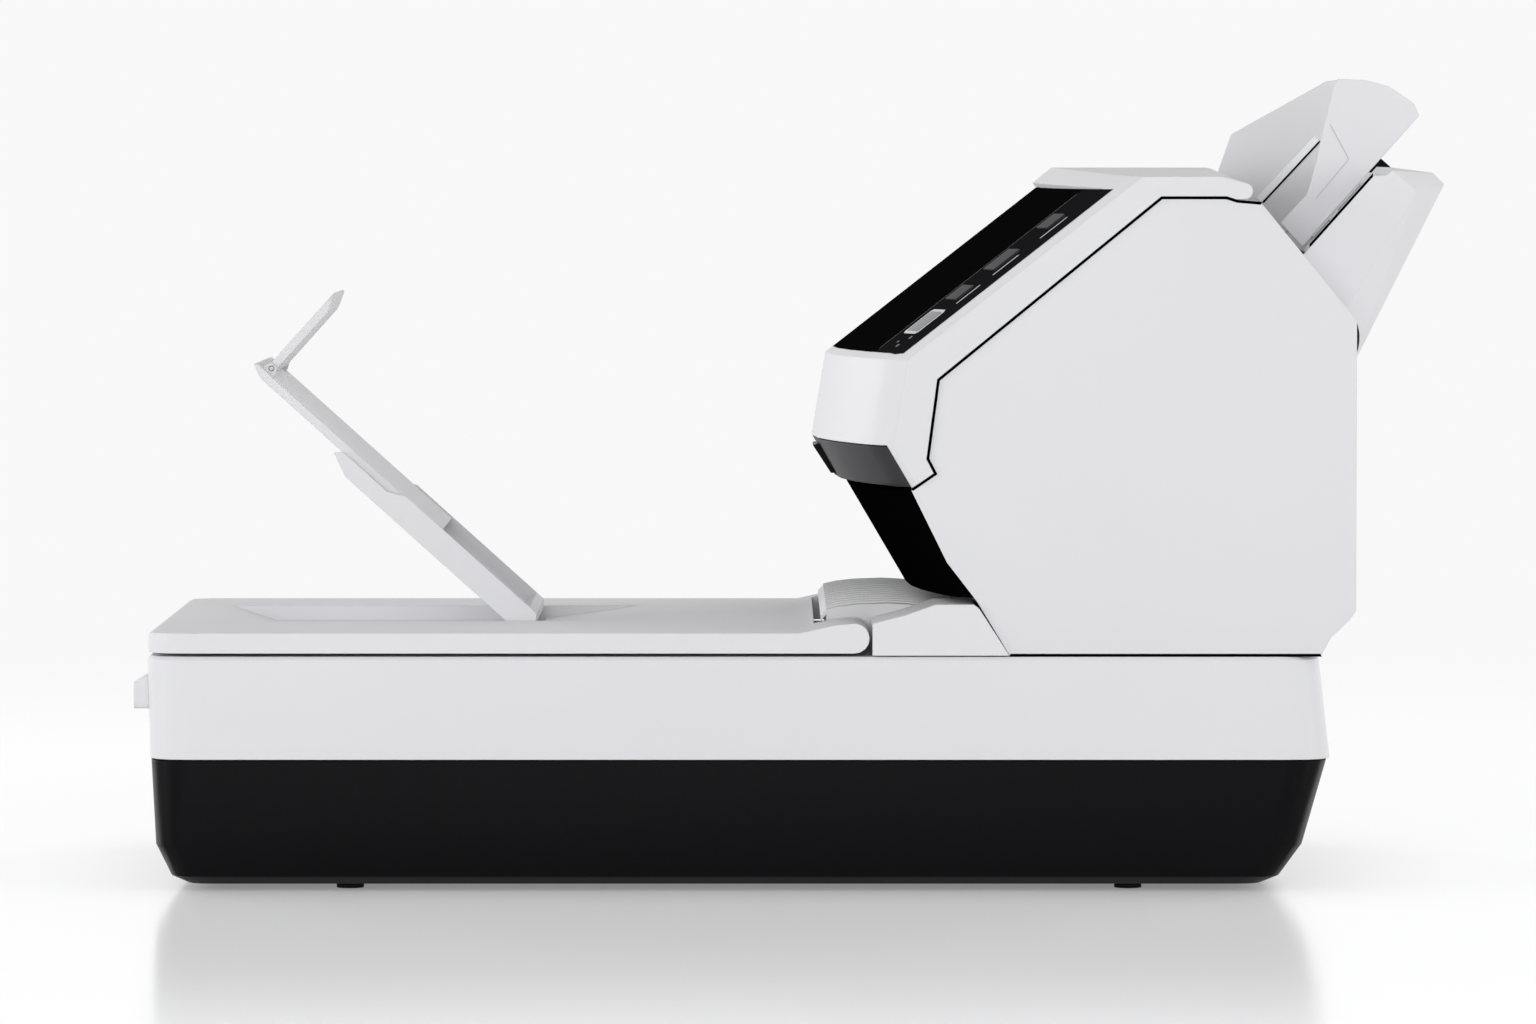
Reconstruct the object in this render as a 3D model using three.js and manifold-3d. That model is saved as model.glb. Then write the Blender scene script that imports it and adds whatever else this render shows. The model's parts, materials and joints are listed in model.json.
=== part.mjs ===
// Flatbed document scanner with an automatic feeder standing over the rear of its bed.
// Lengths are in millimetres and +Z is up. X runs from the front of the bed to its back, and Y
// runs across the machine, from its near side (negative) to its far side.

import * as THREE from 'three';
import { mergeVertices } from 'three/addons/utils/BufferGeometryUtils.js';
import Module from 'manifold-3d';

const wasm = await Module();
wasm.setup();

// Clearances and walls that all pieces share
const seat = 0.3;
const running = 0.5;
const seam = 0.6;
const wall = 2.5;
const sheetMetal = 2;
const overrun = 3;
const arcSteps = 4;
const roundSteps = 16;
const shaftSteps = 12;
const degree = Math.PI / 180;

// Bed: black tray below, white casing above
const bed = {
  width: 300,
  cornerRadius: 20,
  footHeight: 3.1,
  footRadius: 6.5,
  footSeat: 1.5,
  footInset: 35,
  trayHeight: 59.6,
  trayFrontSetback: 1.4,
  trayKeelHeight: 4,
  trayKeelInset: 17,
  trayKneeInset: 9,
  trayCreaseHeight: 18.9,
  trayCreaseInset: 2,
  trayRake: 14,
  casingHeight: 48.7,
  casingRake: 5.3,
  casingSideDraft: 0.9,
  deckEdge: 1.5,
  lipHeight: 3,
  lipThickness: 1.2,
  rearFootFromRear: 95,
};

// Glass plate and the opening over it
const platen = {
  front: 15,
  length: 302,
  width: 218,
  thickness: 3,
  margin: 7,
  cornerRadius: 3,
};

// Document cover, hinged at its rear end
const cover = {
  length: 342,
  gap: 1.6,
  thickness: 9.6,
  noseRadius: 7.1,
  flareLength: 26,
  flareShoulder: 9,
  flareDrop: 0.8,
  cornerRadius: 20,
  edgeRadius: 3,
  padClearance: 2,
  padRelief: 0.5,
  hollowMargin: 8,
  ribWidth: 1.6,
  hingeWall: 11,
  pinReach: 14,
  pinRadius: 3,
};

// Stacker that folds into the top of the document cover
const stacker = {
  pivotFromHinge: 158.5,
  angle: 42,
  length: 125,
  width: 130,
  plate: 2.2,
  sideWall: 2.4,
  sideHeight: 12.6,
  tipHeight: 8.2,
  tallLength: 85,
  bevel: 12,
  barrelRadius: 4.2,
  recessDepth: 7.3,
  recessFront: 3.5,
  recessRamp: 22,
  pocketLength: 50,
  pocketDepth: 6,
  railHeight: 7.5,
  railWidth: 2,
  extensionThickness: 4.1,
  extensionReach: 182.5,
  extensionOverlap: 64,
  extensionLip: 7,
  stopperHeight: 49.5,
  stopperThickness: 4.1,
  stopperWidth: 96,
  stopperBack: 7.5,
  stopperTip: 9,
  trunnionRadius: 1.8,
  trunnionLength: 5,
};

// Ramp between the document cover and the feeder, in the way that sheets leave
const ramp = {
  gap: 1.4,
  length: 64.6,
  crestHeight: 24.7,
  cheekFrontHeight: 15.7,
  cheekRadius: 5,
  floor: 2.5,
  archThickness: 2.4,
  archWidth: 224,
  archLeft: 15.6,
  archSweep: 17.8,
  ribWidth: 1.4,
  ribHeight: 1,
  ribCount: 12,
  webWidth: 2.4,
};

// Feeder tower
const tower = {
  setback: 19.6,
  depth: 210,
  height: 216,
  panel: 3,
  bevel: 2,
  bevelWidth: 6,
  frameInset: 4,
};

// Straight sheet path through the tower: it starts at the exit and rises to the hopper
const feed = {
  angle: 48.3,
  exitFromTower: 34.4,
  exitRise: 19.3,
  length: 228,
  centreY: 18,
  width: 224,
  gap: 3.2,
  guide: 2.8,
  sheet: 216,
};

// Rollers, each at its distance up the sheet path
const rollers = {
  shaftRadius: 3,
  tyreRadius: 8,
  tyreWidth: 22,
  tyrePitch: 70,
  crown: 0.6,
  idlerRadius: 6,
  idlerShaft: 1.8,
  ejectAt: 24,
  downstreamAt: 62,
  sensorAt: 95,
  upstreamAt: 128,
  pickAt: 188,
  pickRadius: 15,
  pickWidth: 44,
  brakeRadius: 11,
  pulleyRadius: 8,
  pulleyWidth: 8,
  flange: 1.2,
  beltThickness: 1.4,
};

// Cover of the feeder, hinged at the top of the tower
const hood = {
  hingeFromRear: 53.1,
  hingeRise: 3.1,
  rearRadius: 3.9,
  top: 9.9,
  crown: 3.8,
  slopeTopFromHinge: 54,
  slopeBottomX: -7.6,
  slopeBottomDrop: 76.4,
  chinX: -14.3,
  chinDrop: 116.8,
  bow: 32,
  cornerSoftness: 6,
  cornerDepth: 11,
  wall: 2.6,
  shaftRadius: 2,
  chinRise: 20.3,
  chinReach: 11.9,
};

// Operator panel and its keys, along the near edge of the slope
const panel = {
  thickness: 2.2,
  sideMargin: 5,
  startShare: 0.035,
  endShare: 0.93,
  keyColumn: 22,
  keyWidth: 13,
  keyProud: 0.8,
  keyDepth: 4,
  keyTravel: 0.8,
};

// Hopper that stands out of the rear slope
const hopper = {
  length: 76,
  plateLength: 50,
  plate: 2.5,
  guideThickness: 3,
  guideGap: 1.1,
  guideFoot: 12,
  guideFootHeight: 2.4,
  guideTravel: 75,
  slotWidth: 8,
  tongue: 3,
  rackDrop: 12,
  rackWidth: 4,
  rackLength: 128,
  pinionRadius: 6,
  shellDepth: 56,
  shellBevel: 14,
  extensionWidth: 66,
  extensionFront: 61.6,
  extensionLength: 52,
  extensionThickness: 3,
  extensionLip: 3.4,
  extensionDepth: 10.2,
  extensionTravel: 40,
  inletHeight: 28,
  guideHeight: 52.9,
  cornerRadius: 4,
};

// Levels and places that follow from the sizes above
const half = bed.width / 2;
const trayTop = bed.footHeight + bed.trayHeight;
const casingBottom = trayTop + seam;
const deckTop = trayTop + seam + bed.casingHeight;
const deckUnder = deckTop - wall;
const coverUnder = deckTop + cover.gap;
const coverTop = coverUnder + cover.thickness;
const coverHinge = { x: cover.length - cover.noseRadius, z: coverUnder + cover.noseRadius };
const towerFront = cover.length + tower.setback;
const towerRear = towerFront + tower.depth;
const towerBase = deckTop + seam;
const towerTop = towerBase + tower.height;
const rampFront = cover.length + ramp.gap;
const rampRear = rampFront + ramp.length;
const feedNear = feed.centreY - feed.width / 2;
const feedFar = feed.centreY + feed.width / 2;

// Outline of the tower seen from the side, as shares of its depth and height
const towerShares = [
  [0.7067, 1], [0.7305, 0.9926], [0.785, 0.988], [1, 0.7315], [1, 0.0986], [0.985, 0.077],
  [0.9438, 0.0394], [0.9219, 0], [0.2214, 0], [0.1481, 0.1181], [0.0805, 0.2032], [0, 0.3616],
  [0.0538, 0.3977], [0.0367, 0.4301], [0.0605, 0.6028], [0.561, 1],
];
const towerOutline = towerShares.map(([x, z]) => [
  towerFront + x * tower.depth,
  towerBase + z * tower.height,
]);
const deckRear = towerFront + towerShares[7][0] * tower.depth;
const trayRear = deckRear + bed.casingRake;

// Sheet path: a distance up the path and a height above it, as a place in the machine
const feedAngle = feed.angle * degree;
const feedStart = { x: towerFront + feed.exitFromTower, z: deckTop + feed.exitRise };
function onPath(along, above) {
  return [
    feedStart.x + along * Math.cos(feedAngle) - above * Math.sin(feedAngle),
    feedStart.z + along * Math.sin(feedAngle) + above * Math.cos(feedAngle),
  ];
}
const pathOutline = (points) => points.map(([along, above]) => onPath(along, above));

// Materials
function plastic(color, roughness = 0.5) {
  return new THREE.MeshStandardMaterial({ color, roughness, metalness: 0 });
}
const whitePlastic = plastic('#e4e4e6', 0.45);
const blackPlastic = plastic('#1b1b1d', 0.5);
const greyPlastic = plastic('#4a4a4c', 0.5);
const rampGrey = plastic('#b9b9bb', 0.5);
const glossBlack = plastic('#08080a', 0.12);
const rubber = plastic('#262626', 0.85);
const padWhite = plastic('#f2f2f0', 0.8);
const boardGreen = plastic('#1d5a34', 0.5);
const keyGrey = plastic('#c9cbce', 0.4);
const steel = new THREE.MeshStandardMaterial({ color: '#b8babd', roughness: 0.3, metalness: 1 });
const glass = new THREE.MeshStandardMaterial({
  color: '#cfe0dc', roughness: 0.03, metalness: 0, transparent: true, opacity: 0.35,
});

// Turns a closed geometry into a solid with its faces pointing out
function solid(geometry) {
  geometry.deleteAttribute('normal');
  geometry.deleteAttribute('uv');
  const merged = mergeVertices(geometry);
  const vertProperties = merged.attributes.position.array;
  const index = merged.index.array;
  const corner = (i) => new THREE.Vector3().fromArray(vertProperties, index[i] * 3);
  const kept = [];
  let volume = 0;
  for (let i = 0; i < index.length; i += 3) {
    const [a, b, c] = [index[i], index[i + 1], index[i + 2]];
    if (a !== b && b !== c && c !== a) kept.push(a, b, c);
    volume += corner(i).dot(corner(i + 1).cross(corner(i + 2)));
  }
  const triVerts = Uint32Array.from(volume < 0 ? kept.reverse() : kept);
  return new wasm.Manifold(new wasm.Mesh({ numProp: 3, vertProperties, triVerts }));
}

const joined = (...bodies) => bodies.reduce((whole, body) => whole.add(body));
const cut = (body, ...tools) => tools.reduce((rest, tool) => rest.subtract(tool), body);
const common = (a, b) => a.intersect(b);

function extruded(outline, depth) {
  const shape = new THREE.Shape(outline.map(([x, y]) => new THREE.Vector2(x, y)));
  return new THREE.ExtrudeGeometry(shape, { depth, bevelEnabled: false });
}

// Outlines given as [x, z], [x, y] and [y, z], drawn out along the axis that is left
const alongY = (outline, y0, y1) => solid(
  extruded(outline, y1 - y0).rotateX(Math.PI / 2).translate(0, y1, 0),
);
const alongZ = (outline, z0, z1) => solid(extruded(outline, z1 - z0).translate(0, 0, z0));
const turnToX = new THREE.Matrix4().makeBasis(
  new THREE.Vector3(0, 1, 0), new THREE.Vector3(0, 0, 1), new THREE.Vector3(1, 0, 0),
);
const alongX = (outline, x0, x1) => solid(
  extruded(outline, x1 - x0).applyMatrix4(turnToX).translate(x0, 0, 0),
);

function block(x0, x1, y0, y1, z0, z1) {
  const box = new THREE.BoxGeometry(x1 - x0, y1 - y0, z1 - z0);
  return solid(box.translate((x0 + x1) / 2, (y0 + y1) / 2, (z0 + z1) / 2));
}

function cylinder(radius, length, steps = roundSteps) {
  return new THREE.CylinderGeometry(radius, radius, length, steps);
}
const rodY = (x, z, radius, y0, y1, steps) => solid(
  cylinder(radius, y1 - y0, steps).translate(x, (y0 + y1) / 2, z),
);
const rodZ = (x, y, radius, z0, z1, steps) => solid(
  cylinder(radius, z1 - z0, steps).rotateX(Math.PI / 2).translate(x, y, (z0 + z1) / 2),
);
const rodX = (y, z, radius, x0, x1, steps) => solid(
  cylinder(radius, x1 - x0, steps).rotateZ(Math.PI / 2).translate((x0 + x1) / 2, y, z),
);

// Outline whose corners, given as [x, y, radius], are rounded
function rounded(corners) {
  return corners.flatMap(([x, y, radius = 0], i) => {
    if (!radius) return [[x, y]];
    const here = new THREE.Vector2(x, y);
    const before = new THREE.Vector2(...corners.at(i - 1).slice(0, 2)).sub(here);
    const after = new THREE.Vector2(...corners[(i + 1) % corners.length].slice(0, 2)).sub(here);
    const halfAngle = Math.abs(before.angleTo(after)) / 2;
    const longest = Math.min(before.length(), after.length()) * 0.49;
    const reach = Math.min(radius / Math.tan(halfAngle), longest);
    const start = here.clone().add(before.setLength(reach));
    const end = here.clone().add(after.setLength(reach));
    const curve = new THREE.QuadraticBezierCurve(start, here, end);
    return curve.getPoints(arcSteps).map((point) => [point.x, point.y]);
  });
}

const rectangle = (x0, x1, y0, y1, radius = 0) => rounded([
  [x0, y0, radius], [x1, y0, radius], [x1, y1, radius], [x0, y1, radius],
]);

// Outline moved outwards by a distance, or inwards where it is negative
function offset(outline, distance) {
  const points = outline.map(([x, y]) => new THREE.Vector2(x, y));
  const side = THREE.ShapeUtils.isClockWise(points) ? -1 : 1;
  return points.map((point, i) => {
    const before = point.clone().sub(points.at(i - 1)).normalize();
    const after = points[(i + 1) % points.length].clone().sub(point).normalize();
    const middle = new THREE.Vector2(before.y + after.y, -before.x - after.x).normalize();
    const reach = (side * distance) / Math.max(middle.dot(new THREE.Vector2(after.y, -after.x)), 0.3);
    return point.clone().addScaledVector(middle, reach).toArray();
  });
}

function arc(x, z, radius, from, to, steps) {
  return Array.from({ length: steps + 1 }, (_, i) => {
    const angle = (from + ((to - from) * i) / steps) * degree;
    return [x + radius * Math.cos(angle), z + radius * Math.sin(angle)];
  });
}

// Closed body through rings of equally many points; cap gives a ring's points in its plane
function loft(rings, cap) {
  const count = rings[0].length;
  const positions = rings.flat().flatMap((point) => point.toArray());
  const index = [];
  for (let ring = 0; ring < rings.length - 1; ring++) {
    for (let i = 0; i < count; i++) {
      const a = ring * count + i;
      const b = ring * count + ((i + 1) % count);
      index.push(a, b, b + count, a, b + count, a + count);
    }
  }
  const last = (rings.length - 1) * count;
  const faces = (ring) => {
    const flat = ring.map(cap);
    return THREE.ShapeUtils.triangulateShape(flat, []).map((face) => (
      THREE.ShapeUtils.isClockWise(face.map((i) => flat[i])) ? face.toReversed() : face
    ));
  };
  const clockwise = THREE.ShapeUtils.isClockWise(rings[0].map(cap));
  for (const [a, b, c] of faces(rings[0])) index.push(...(clockwise ? [a, b, c] : [c, b, a]));
  for (const [a, b, c] of faces(rings.at(-1))) {
    index.push(...(clockwise ? [c, b, a] : [a, b, c]).map((i) => i + last));
  }
  const geometry = new THREE.BufferGeometry();
  geometry.setAttribute('position', new THREE.Float32BufferAttribute(positions, 3));
  geometry.setIndex(index);
  return solid(geometry);
}
const capFromAbove = (point) => new THREE.Vector2(point.x, point.y);
const capFromSide = (point) => new THREE.Vector2(point.x, point.z);

// Body between two outlines in planes across Y
const loftAcross = (sections) => loft(
  sections.map(([y, outline]) => outline.map(([x, z]) => new THREE.Vector3(x, y, z))),
  capFromSide,
);

const scanner = new THREE.Group();
function add(name, body, material) {
  const { vertProperties, triVerts } = body.getMesh();
  const geometry = new THREE.BufferGeometry();
  geometry.setAttribute('position', new THREE.BufferAttribute(vertProperties, 3));
  geometry.setIndex(new THREE.BufferAttribute(triVerts, 1));
  geometry.computeVertexNormals();
  const mesh = new THREE.Mesh(geometry, material);
  mesh.name = name;
  scanner.add(mesh);
}

// The bed's outline at a height, with its rounded corners
function planRing(z, front, rear, side, radius) {
  return rectangle(front, rear, -side, side, radius).map(([x, y]) => new THREE.Vector3(x, y, z));
}

function trayRing(height, inset) {
  const rake = bed.trayRake * (1 - height / bed.trayHeight);
  const edge = bed.trayFrontSetback + inset;
  const radius = bed.cornerRadius - inset / 2;
  return planRing(bed.footHeight + height, edge, trayRear - rake - edge, half - edge, radius);
}

const trayForm = (floor, skin, rise) => loft([
  trayRing(floor, bed.trayKeelInset + skin),
  trayRing(bed.trayKeelHeight + floor, bed.trayKneeInset + skin),
  trayRing(bed.trayCreaseHeight, bed.trayCreaseInset + skin),
  trayRing(bed.trayHeight + rise, skin),
], capFromAbove);

function casingForm(skin, bottom, top, edge) {
  const sideAt = (draft) => half - draft - skin;
  const low = bed.casingSideDraft;
  return loft([
    planRing(bottom, low + skin, trayRear - skin, sideAt(low), bed.cornerRadius - skin),
    planRing(top - edge, skin, deckRear - skin, sideAt(0), bed.cornerRadius - skin),
    planRing(top, skin + edge, deckRear - skin - edge, sideAt(edge), bed.cornerRadius - skin - edge),
  ], capFromAbove);
}

// Scanning carriage and what it runs on
const scan = {
  homeFromPlaten: 27,
  length: 44,
  width: 226,
  height: 26,
  headroom: 2,
  travel: 300,
  rodY: -60,
  rodRadius: 4,
  rodHeight: 62,
  rodEnd: 10,
  rodLength: 392,
  postWidth: 12,
  postLength: 6,
  postCap: 7,
  bossRadius: 9,
  bossLength: 24,
  railY: 95,
  railWidth: 10,
  railThickness: 2,
  channelWidth: 14,
  channelDepth: 14,
  channelMargin: 6,
  lensWidth: 6,
  lensBelowTop: 1.2,
  beltY: -82,
  beltHeight: 6,
  beltDrop: 7,
  beltThickness: 1.2,
  pulleyRadius: 6,
  pulleyFlange: 1,
  idlerX: 18,
  motorX: 410,
  motorRadius: 17.5,
  motorHeight: 28,
  motorFloor: 18,
  shaftRadius: 2.5,
  legThickness: 2,
  legLength: 20,
};
const trayFloor = bed.footHeight + wall;
const glassTop = deckUnder - seat;
const glassBottom = glassTop - platen.thickness;
const carriageX = platen.front + platen.length + scan.homeFromPlaten;
const carriageTop = glassBottom - scan.headroom;
const carriageBottom = carriageTop - scan.height;
const rodZAxis = trayFloor + scan.rodHeight;
const beltTop = rodZAxis - scan.beltDrop;
const beltBottom = beltTop - scan.beltHeight;
const footPlaces = [
  ['front_near', bed.rearFootFromRear, -1], ['front_far', bed.rearFootFromRear, 1],
  ['rear_near', trayRear - bed.rearFootFromRear, -1], ['rear_far', trayRear - bed.rearFootFromRear, 1],
];
const footY = half - bed.footInset;

// Main board and the sockets on its rear edge
const board = {
  length: 112,
  near: 22,
  far: 128,
  rise: 66,
  thickness: 1.6,
  post: 4,
  rearGap: 6,
  chips: [[0.3, 0.3, 24, 20, 2], [0.35, 0.75, 30, 12, 3], [0.7, 0.35, 12, 12, 8]],
  usbY: 60,
  usbWidth: 16,
  usbHeight: 11,
  usbOpening: 8.4,
  usbWall: 1.4,
  dcY: 98,
  dcWidth: 14,
  dcHeight: 11,
  dcHole: 3.4,
  dcPin: 1,
  depth: 15,
  cavity: 9,
};
const boardBottom = trayFloor + board.rise;
const boardTop = boardBottom + board.thickness;
const boardRear = deckRear - board.rearGap;

// Button on the front of the casing, near its near corner
const button = {
  y: -112,
  width: 30,
  bottom: 22.7,
  height: 16.4,
  slope: 4,
  proud: 7,
  inside: 6,
  flange: 1.6,
  flangeThickness: 2,
  travel: 2,
  radius: 2.5,
};
const buttonBottom = casingBottom + button.bottom;
const buttonTop = buttonBottom + button.height;

function makeTray() {
  const post = (x0, x1, y0, y1, top) => block(x0, x1, y0, y1, bed.footHeight + overrun / 2, top);
  const rodPost = (x) => post(
    x, x + scan.postLength,
    scan.rodY - scan.postWidth / 2, scan.rodY + scan.postWidth / 2, rodZAxis + scan.postCap,
  );
  const rodRear = scan.rodEnd + scan.rodLength;
  const railFloor = rodZAxis - scan.railThickness - seat;
  const boardPosts = [boardRear - board.length + board.post, boardRear - board.post * 3].flatMap(
    (x) => [board.near, board.far - board.post * 2].map(
      (y) => post(x, x + board.post * 2, y, y + board.post * 2, boardBottom - seat),
    ),
  );
  const inside = joined(
    rodPost(scan.rodEnd),
    rodPost(rodRear - scan.postLength),
    post(
      scan.rodEnd, rodRear,
      scan.railY - scan.railWidth / 4, scan.railY + scan.railWidth / 4, railFloor,
    ),
    rodZ(scan.idlerX, scan.beltY, scan.pulleyRadius, trayFloor - seat, beltBottom - running * 2),
    rodZ(
      scan.idlerX, scan.beltY, scan.shaftRadius, trayFloor - seat, beltTop + scan.pulleyFlange,
      shaftSteps,
    ),
    rodZ(scan.motorX, scan.beltY, scan.motorRadius - overrun, trayFloor - seat, trayFloor + scan.motorFloor),
    ...boardPosts,
  );
  const shell = cut(trayForm(0, 0, 0), trayForm(wall, wall, overrun));
  const lipOutside = bed.casingSideDraft + wall + seat;
  const lipInside = trayForm(0, lipOutside + bed.lipThickness, overrun * 2);
  const below = (z) => block(-overrun, trayRear + overrun, -half, half, 0, z);
  const lip = joined(
    cut(trayForm(wall, lipOutside, bed.lipHeight), lipInside, below(trayTop - seat)),
    cut(trayForm(wall, wall - seat, 0), lipInside, below(trayTop - bed.lipHeight)),
  );
  const footRecess = footPlaces.map(([, x, side]) => rodZ(
    x, side * footY, bed.footRadius + seat, 0, bed.footHeight + bed.footSeat, shaftSteps,
  ));
  const bore = rodX(scan.rodY, rodZAxis, scan.rodRadius + seat, 0, trayRear, shaftSteps);
  return cut(joined(shell, lip, common(inside, trayForm(0, 0, scan.rodHeight))), bore, ...footRecess);
}

function makeCasing() {
  const openingY = platen.width / 2;
  return cut(
    casingForm(0, casingBottom, deckTop, bed.deckEdge),
    casingForm(wall, casingBottom - overrun, deckUnder, 0.01 * wall),
    alongZ(
      rectangle(
        platen.front, platen.front + platen.length, -openingY, openingY, platen.cornerRadius,
      ),
      deckUnder - overrun, deckTop + overrun,
    ),
    block(
      -overrun, wall + overrun,
      button.y - button.width / 2 - running, button.y + button.width / 2 + running,
      buttonBottom - running, buttonTop + running,
    ),
    socketHole(board.usbY, board.usbWidth, board.usbHeight),
    socketHole(board.dcY, board.dcWidth, board.dcHeight),
  );
}

function socketHole(y, socketWidth, socketHeight) {
  return block(
    deckRear - wall * 3, trayRear + overrun,
    y - socketWidth / 2 - running, y + socketWidth / 2 + running,
    boardTop + seat - running, boardTop + seat + socketHeight + running,
  );
}

function makeFrontButton() {
  const side = alongY([
    [button.inside, buttonBottom], [-button.proud, buttonBottom],
    [-button.proud, buttonTop - button.slope], [0, buttonTop], [button.inside, buttonTop],
  ], button.y - button.width / 2, button.y + button.width / 2);
  const face = alongX(
    rectangle(
      button.y - button.width / 2, button.y + button.width / 2, buttonBottom, buttonTop,
      button.radius,
    ),
    -button.proud - overrun, button.inside + overrun,
  );
  const flange = block(
    button.inside - button.flangeThickness, button.inside,
    button.y - button.width / 2 - button.flange, button.y + button.width / 2 + button.flange,
    buttonBottom - button.flange, buttonTop + button.flange,
  );
  return joined(common(side, face), flange);
}

// A flat belt round two pulleys that stand upright
function beltLoop(y, x0, x1, radius, thickness, z0, z1) {
  const loop = (reach) => [
    ...arc(x0, y, reach, 90, 270, 10),
    ...arc(x1, y, reach, -90, 90, 10),
  ];
  return cut(
    alongZ(loop(radius + thickness), z0, z1),
    alongZ(loop(radius), z0 - overrun, z1 + overrun),
  );
}

function makeCarriageHousing() {
  const x0 = carriageX - scan.length / 2;
  const x1 = carriageX + scan.length / 2;
  const side = scan.width / 2;
  const legY = scan.beltY + scan.pulleyRadius + seat * 2 + scan.beltThickness;
  const body = joined(
    block(x0, x1, -side, side, carriageBottom, carriageTop),
    block(
      carriageX - scan.bossLength / 2, carriageX + scan.bossLength / 2,
      scan.rodY - scan.bossRadius, scan.rodY + scan.bossRadius, rodZAxis - scan.bossRadius,
      carriageBottom + wall,
    ),
    block(
      carriageX - scan.legLength / 2, carriageX + scan.legLength / 2,
      scan.railY - scan.railWidth / 2, scan.railY + scan.railWidth / 2,
      rodZAxis + seat, carriageBottom + wall,
    ),
    block(
      carriageX - scan.legLength / 2, carriageX + scan.legLength / 2,
      legY, legY + scan.legThickness, beltBottom, carriageBottom + wall,
    ),
  );
  const channel = block(
    carriageX - scan.channelWidth / 2, carriageX + scan.channelWidth / 2,
    -side + scan.channelMargin, side - scan.channelMargin,
    carriageTop - scan.channelDepth, carriageTop + overrun,
  );
  const pocket = (from, to) => block(
    from, to, -side + wall, side - wall, carriageBottom + wall, carriageTop - wall * 2,
  );
  const bore = rodX(scan.rodY, rodZAxis, scan.rodRadius + seat, x0, x1, shaftSteps);
  const lens = block(
    carriageX - scan.lensWidth / 2, carriageX + scan.lensWidth / 2,
    -side + scan.channelMargin - seat, side - scan.channelMargin + seat,
    carriageTop - scan.channelDepth - seat, carriageTop - scan.lensBelowTop,
  );
  const vent = block(
    x0 - overrun, x1 + overrun, side / 4, side / 2, carriageBottom + wall * 2,
    carriageTop - wall * 4,
  );
  return joined(lens, cut(
    body, channel, bore, vent,
    pocket(x0 + wall, carriageX - scan.channelWidth / 2 - wall),
    pocket(carriageX + scan.channelWidth / 2 + wall, x1 - wall),
  ));
}

function makeSocket(y, socketWidth, socketHeight, cavity) {
  const face = deckRear + wall / 2;
  const z0 = boardTop + seat;
  return cut(
    block(face - board.depth, face, y - socketWidth / 2, y + socketWidth / 2, z0, z0 + socketHeight),
    cavity(face, z0 + socketHeight / 2),
  );
}

function makeMainBoard() {
  const x0 = boardRear - board.length;
  const chips = board.chips.map(([along, across, length, breadth, height]) => {
    const x = x0 + along * board.length;
    const y = board.near + across * (board.far - board.near);
    return block(
      x, x + length, y - breadth / 2, y + breadth / 2, boardTop - board.thickness / 2,
      boardTop + height,
    );
  });
  return joined(block(x0, boardRear, board.near, board.far, boardBottom, boardTop), ...chips);
}

add('base_tray', makeTray(), blackPlastic);
add('base_upper_case', makeCasing(), whitePlastic);
for (const [place, x, side] of footPlaces) {
  const foot = rodZ(
    x, side * footY, bed.footRadius, 0, bed.footHeight + bed.footSeat - seat, shaftSteps,
  );
  add(`rubber_foot_${place}`, foot, rubber);
}
add('platen_glass', block(
  platen.front - platen.margin, platen.front + platen.length + platen.margin,
  -platen.width / 2 - platen.margin, platen.width / 2 + platen.margin, glassBottom, glassTop,
), glass);
add('guide_rod', rodX(
  scan.rodY, rodZAxis, scan.rodRadius, scan.rodEnd + seat, scan.rodEnd + scan.rodLength - seat,
  shaftSteps,
), steel);
add('carriage_rail', block(
  scan.rodEnd + seat, scan.rodEnd + scan.rodLength - seat,
  scan.railY - scan.railWidth / 2, scan.railY + scan.railWidth / 2,
  rodZAxis - scan.railThickness, rodZAxis,
), steel);
add('carriage_housing', makeCarriageHousing(), blackPlastic);
add('drive_belt', beltLoop(
  scan.beltY, scan.idlerX, scan.motorX, scan.pulleyRadius + seat, scan.beltThickness,
  beltBottom, beltTop,
), rubber);
const motorTop = trayFloor + scan.motorFloor + seat + scan.motorHeight;
add('carriage_motor', cut(
  rodZ(scan.motorX, scan.beltY, scan.motorRadius, motorTop - scan.motorHeight, motorTop),
  rodZ(
    scan.motorX, scan.beltY, scan.shaftRadius + seat, motorTop - scan.motorHeight / 2,
    motorTop + overrun, shaftSteps,
  ),
), steel);
const flangeZ = beltBottom - scan.pulleyFlange;
add('motor_pulley', joined(
  rodZ(scan.motorX, scan.beltY, scan.pulleyRadius, flangeZ, beltTop + scan.pulleyFlange / 2),
  rodZ(
    scan.motorX, scan.beltY, scan.shaftRadius, motorTop - scan.motorHeight / 2 + seat, beltTop,
    shaftSteps,
  ),
), steel);
add('idler_pulley', cut(
  rodZ(scan.idlerX, scan.beltY, scan.pulleyRadius, beltBottom - running, beltTop + scan.pulleyFlange / 2),
  rodZ(scan.idlerX, scan.beltY, scan.shaftRadius + seat, 0, deckTop, shaftSteps),
), greyPlastic);
add('main_board', makeMainBoard(), boardGreen);
add('usb_socket', makeSocket(board.usbY, board.usbWidth, board.usbHeight, (face, z) => block(
  face - board.cavity, face + overrun,
  board.usbY - board.usbOpening / 2, board.usbY + board.usbOpening / 2,
  z - board.usbOpening / 2, z + board.usbOpening / 2,
)), steel);
add('dc_inlet', makeSocket(board.dcY, board.dcWidth, board.dcHeight, (face, z) => cut(
  rodX(board.dcY, z, board.dcHole, face - board.cavity, face + overrun),
  rodX(board.dcY, z, board.dcPin, face - board.cavity - overrun, face - wall),
)), blackPlastic);
add('front_button', makeFrontButton(), whitePlastic);

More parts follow.
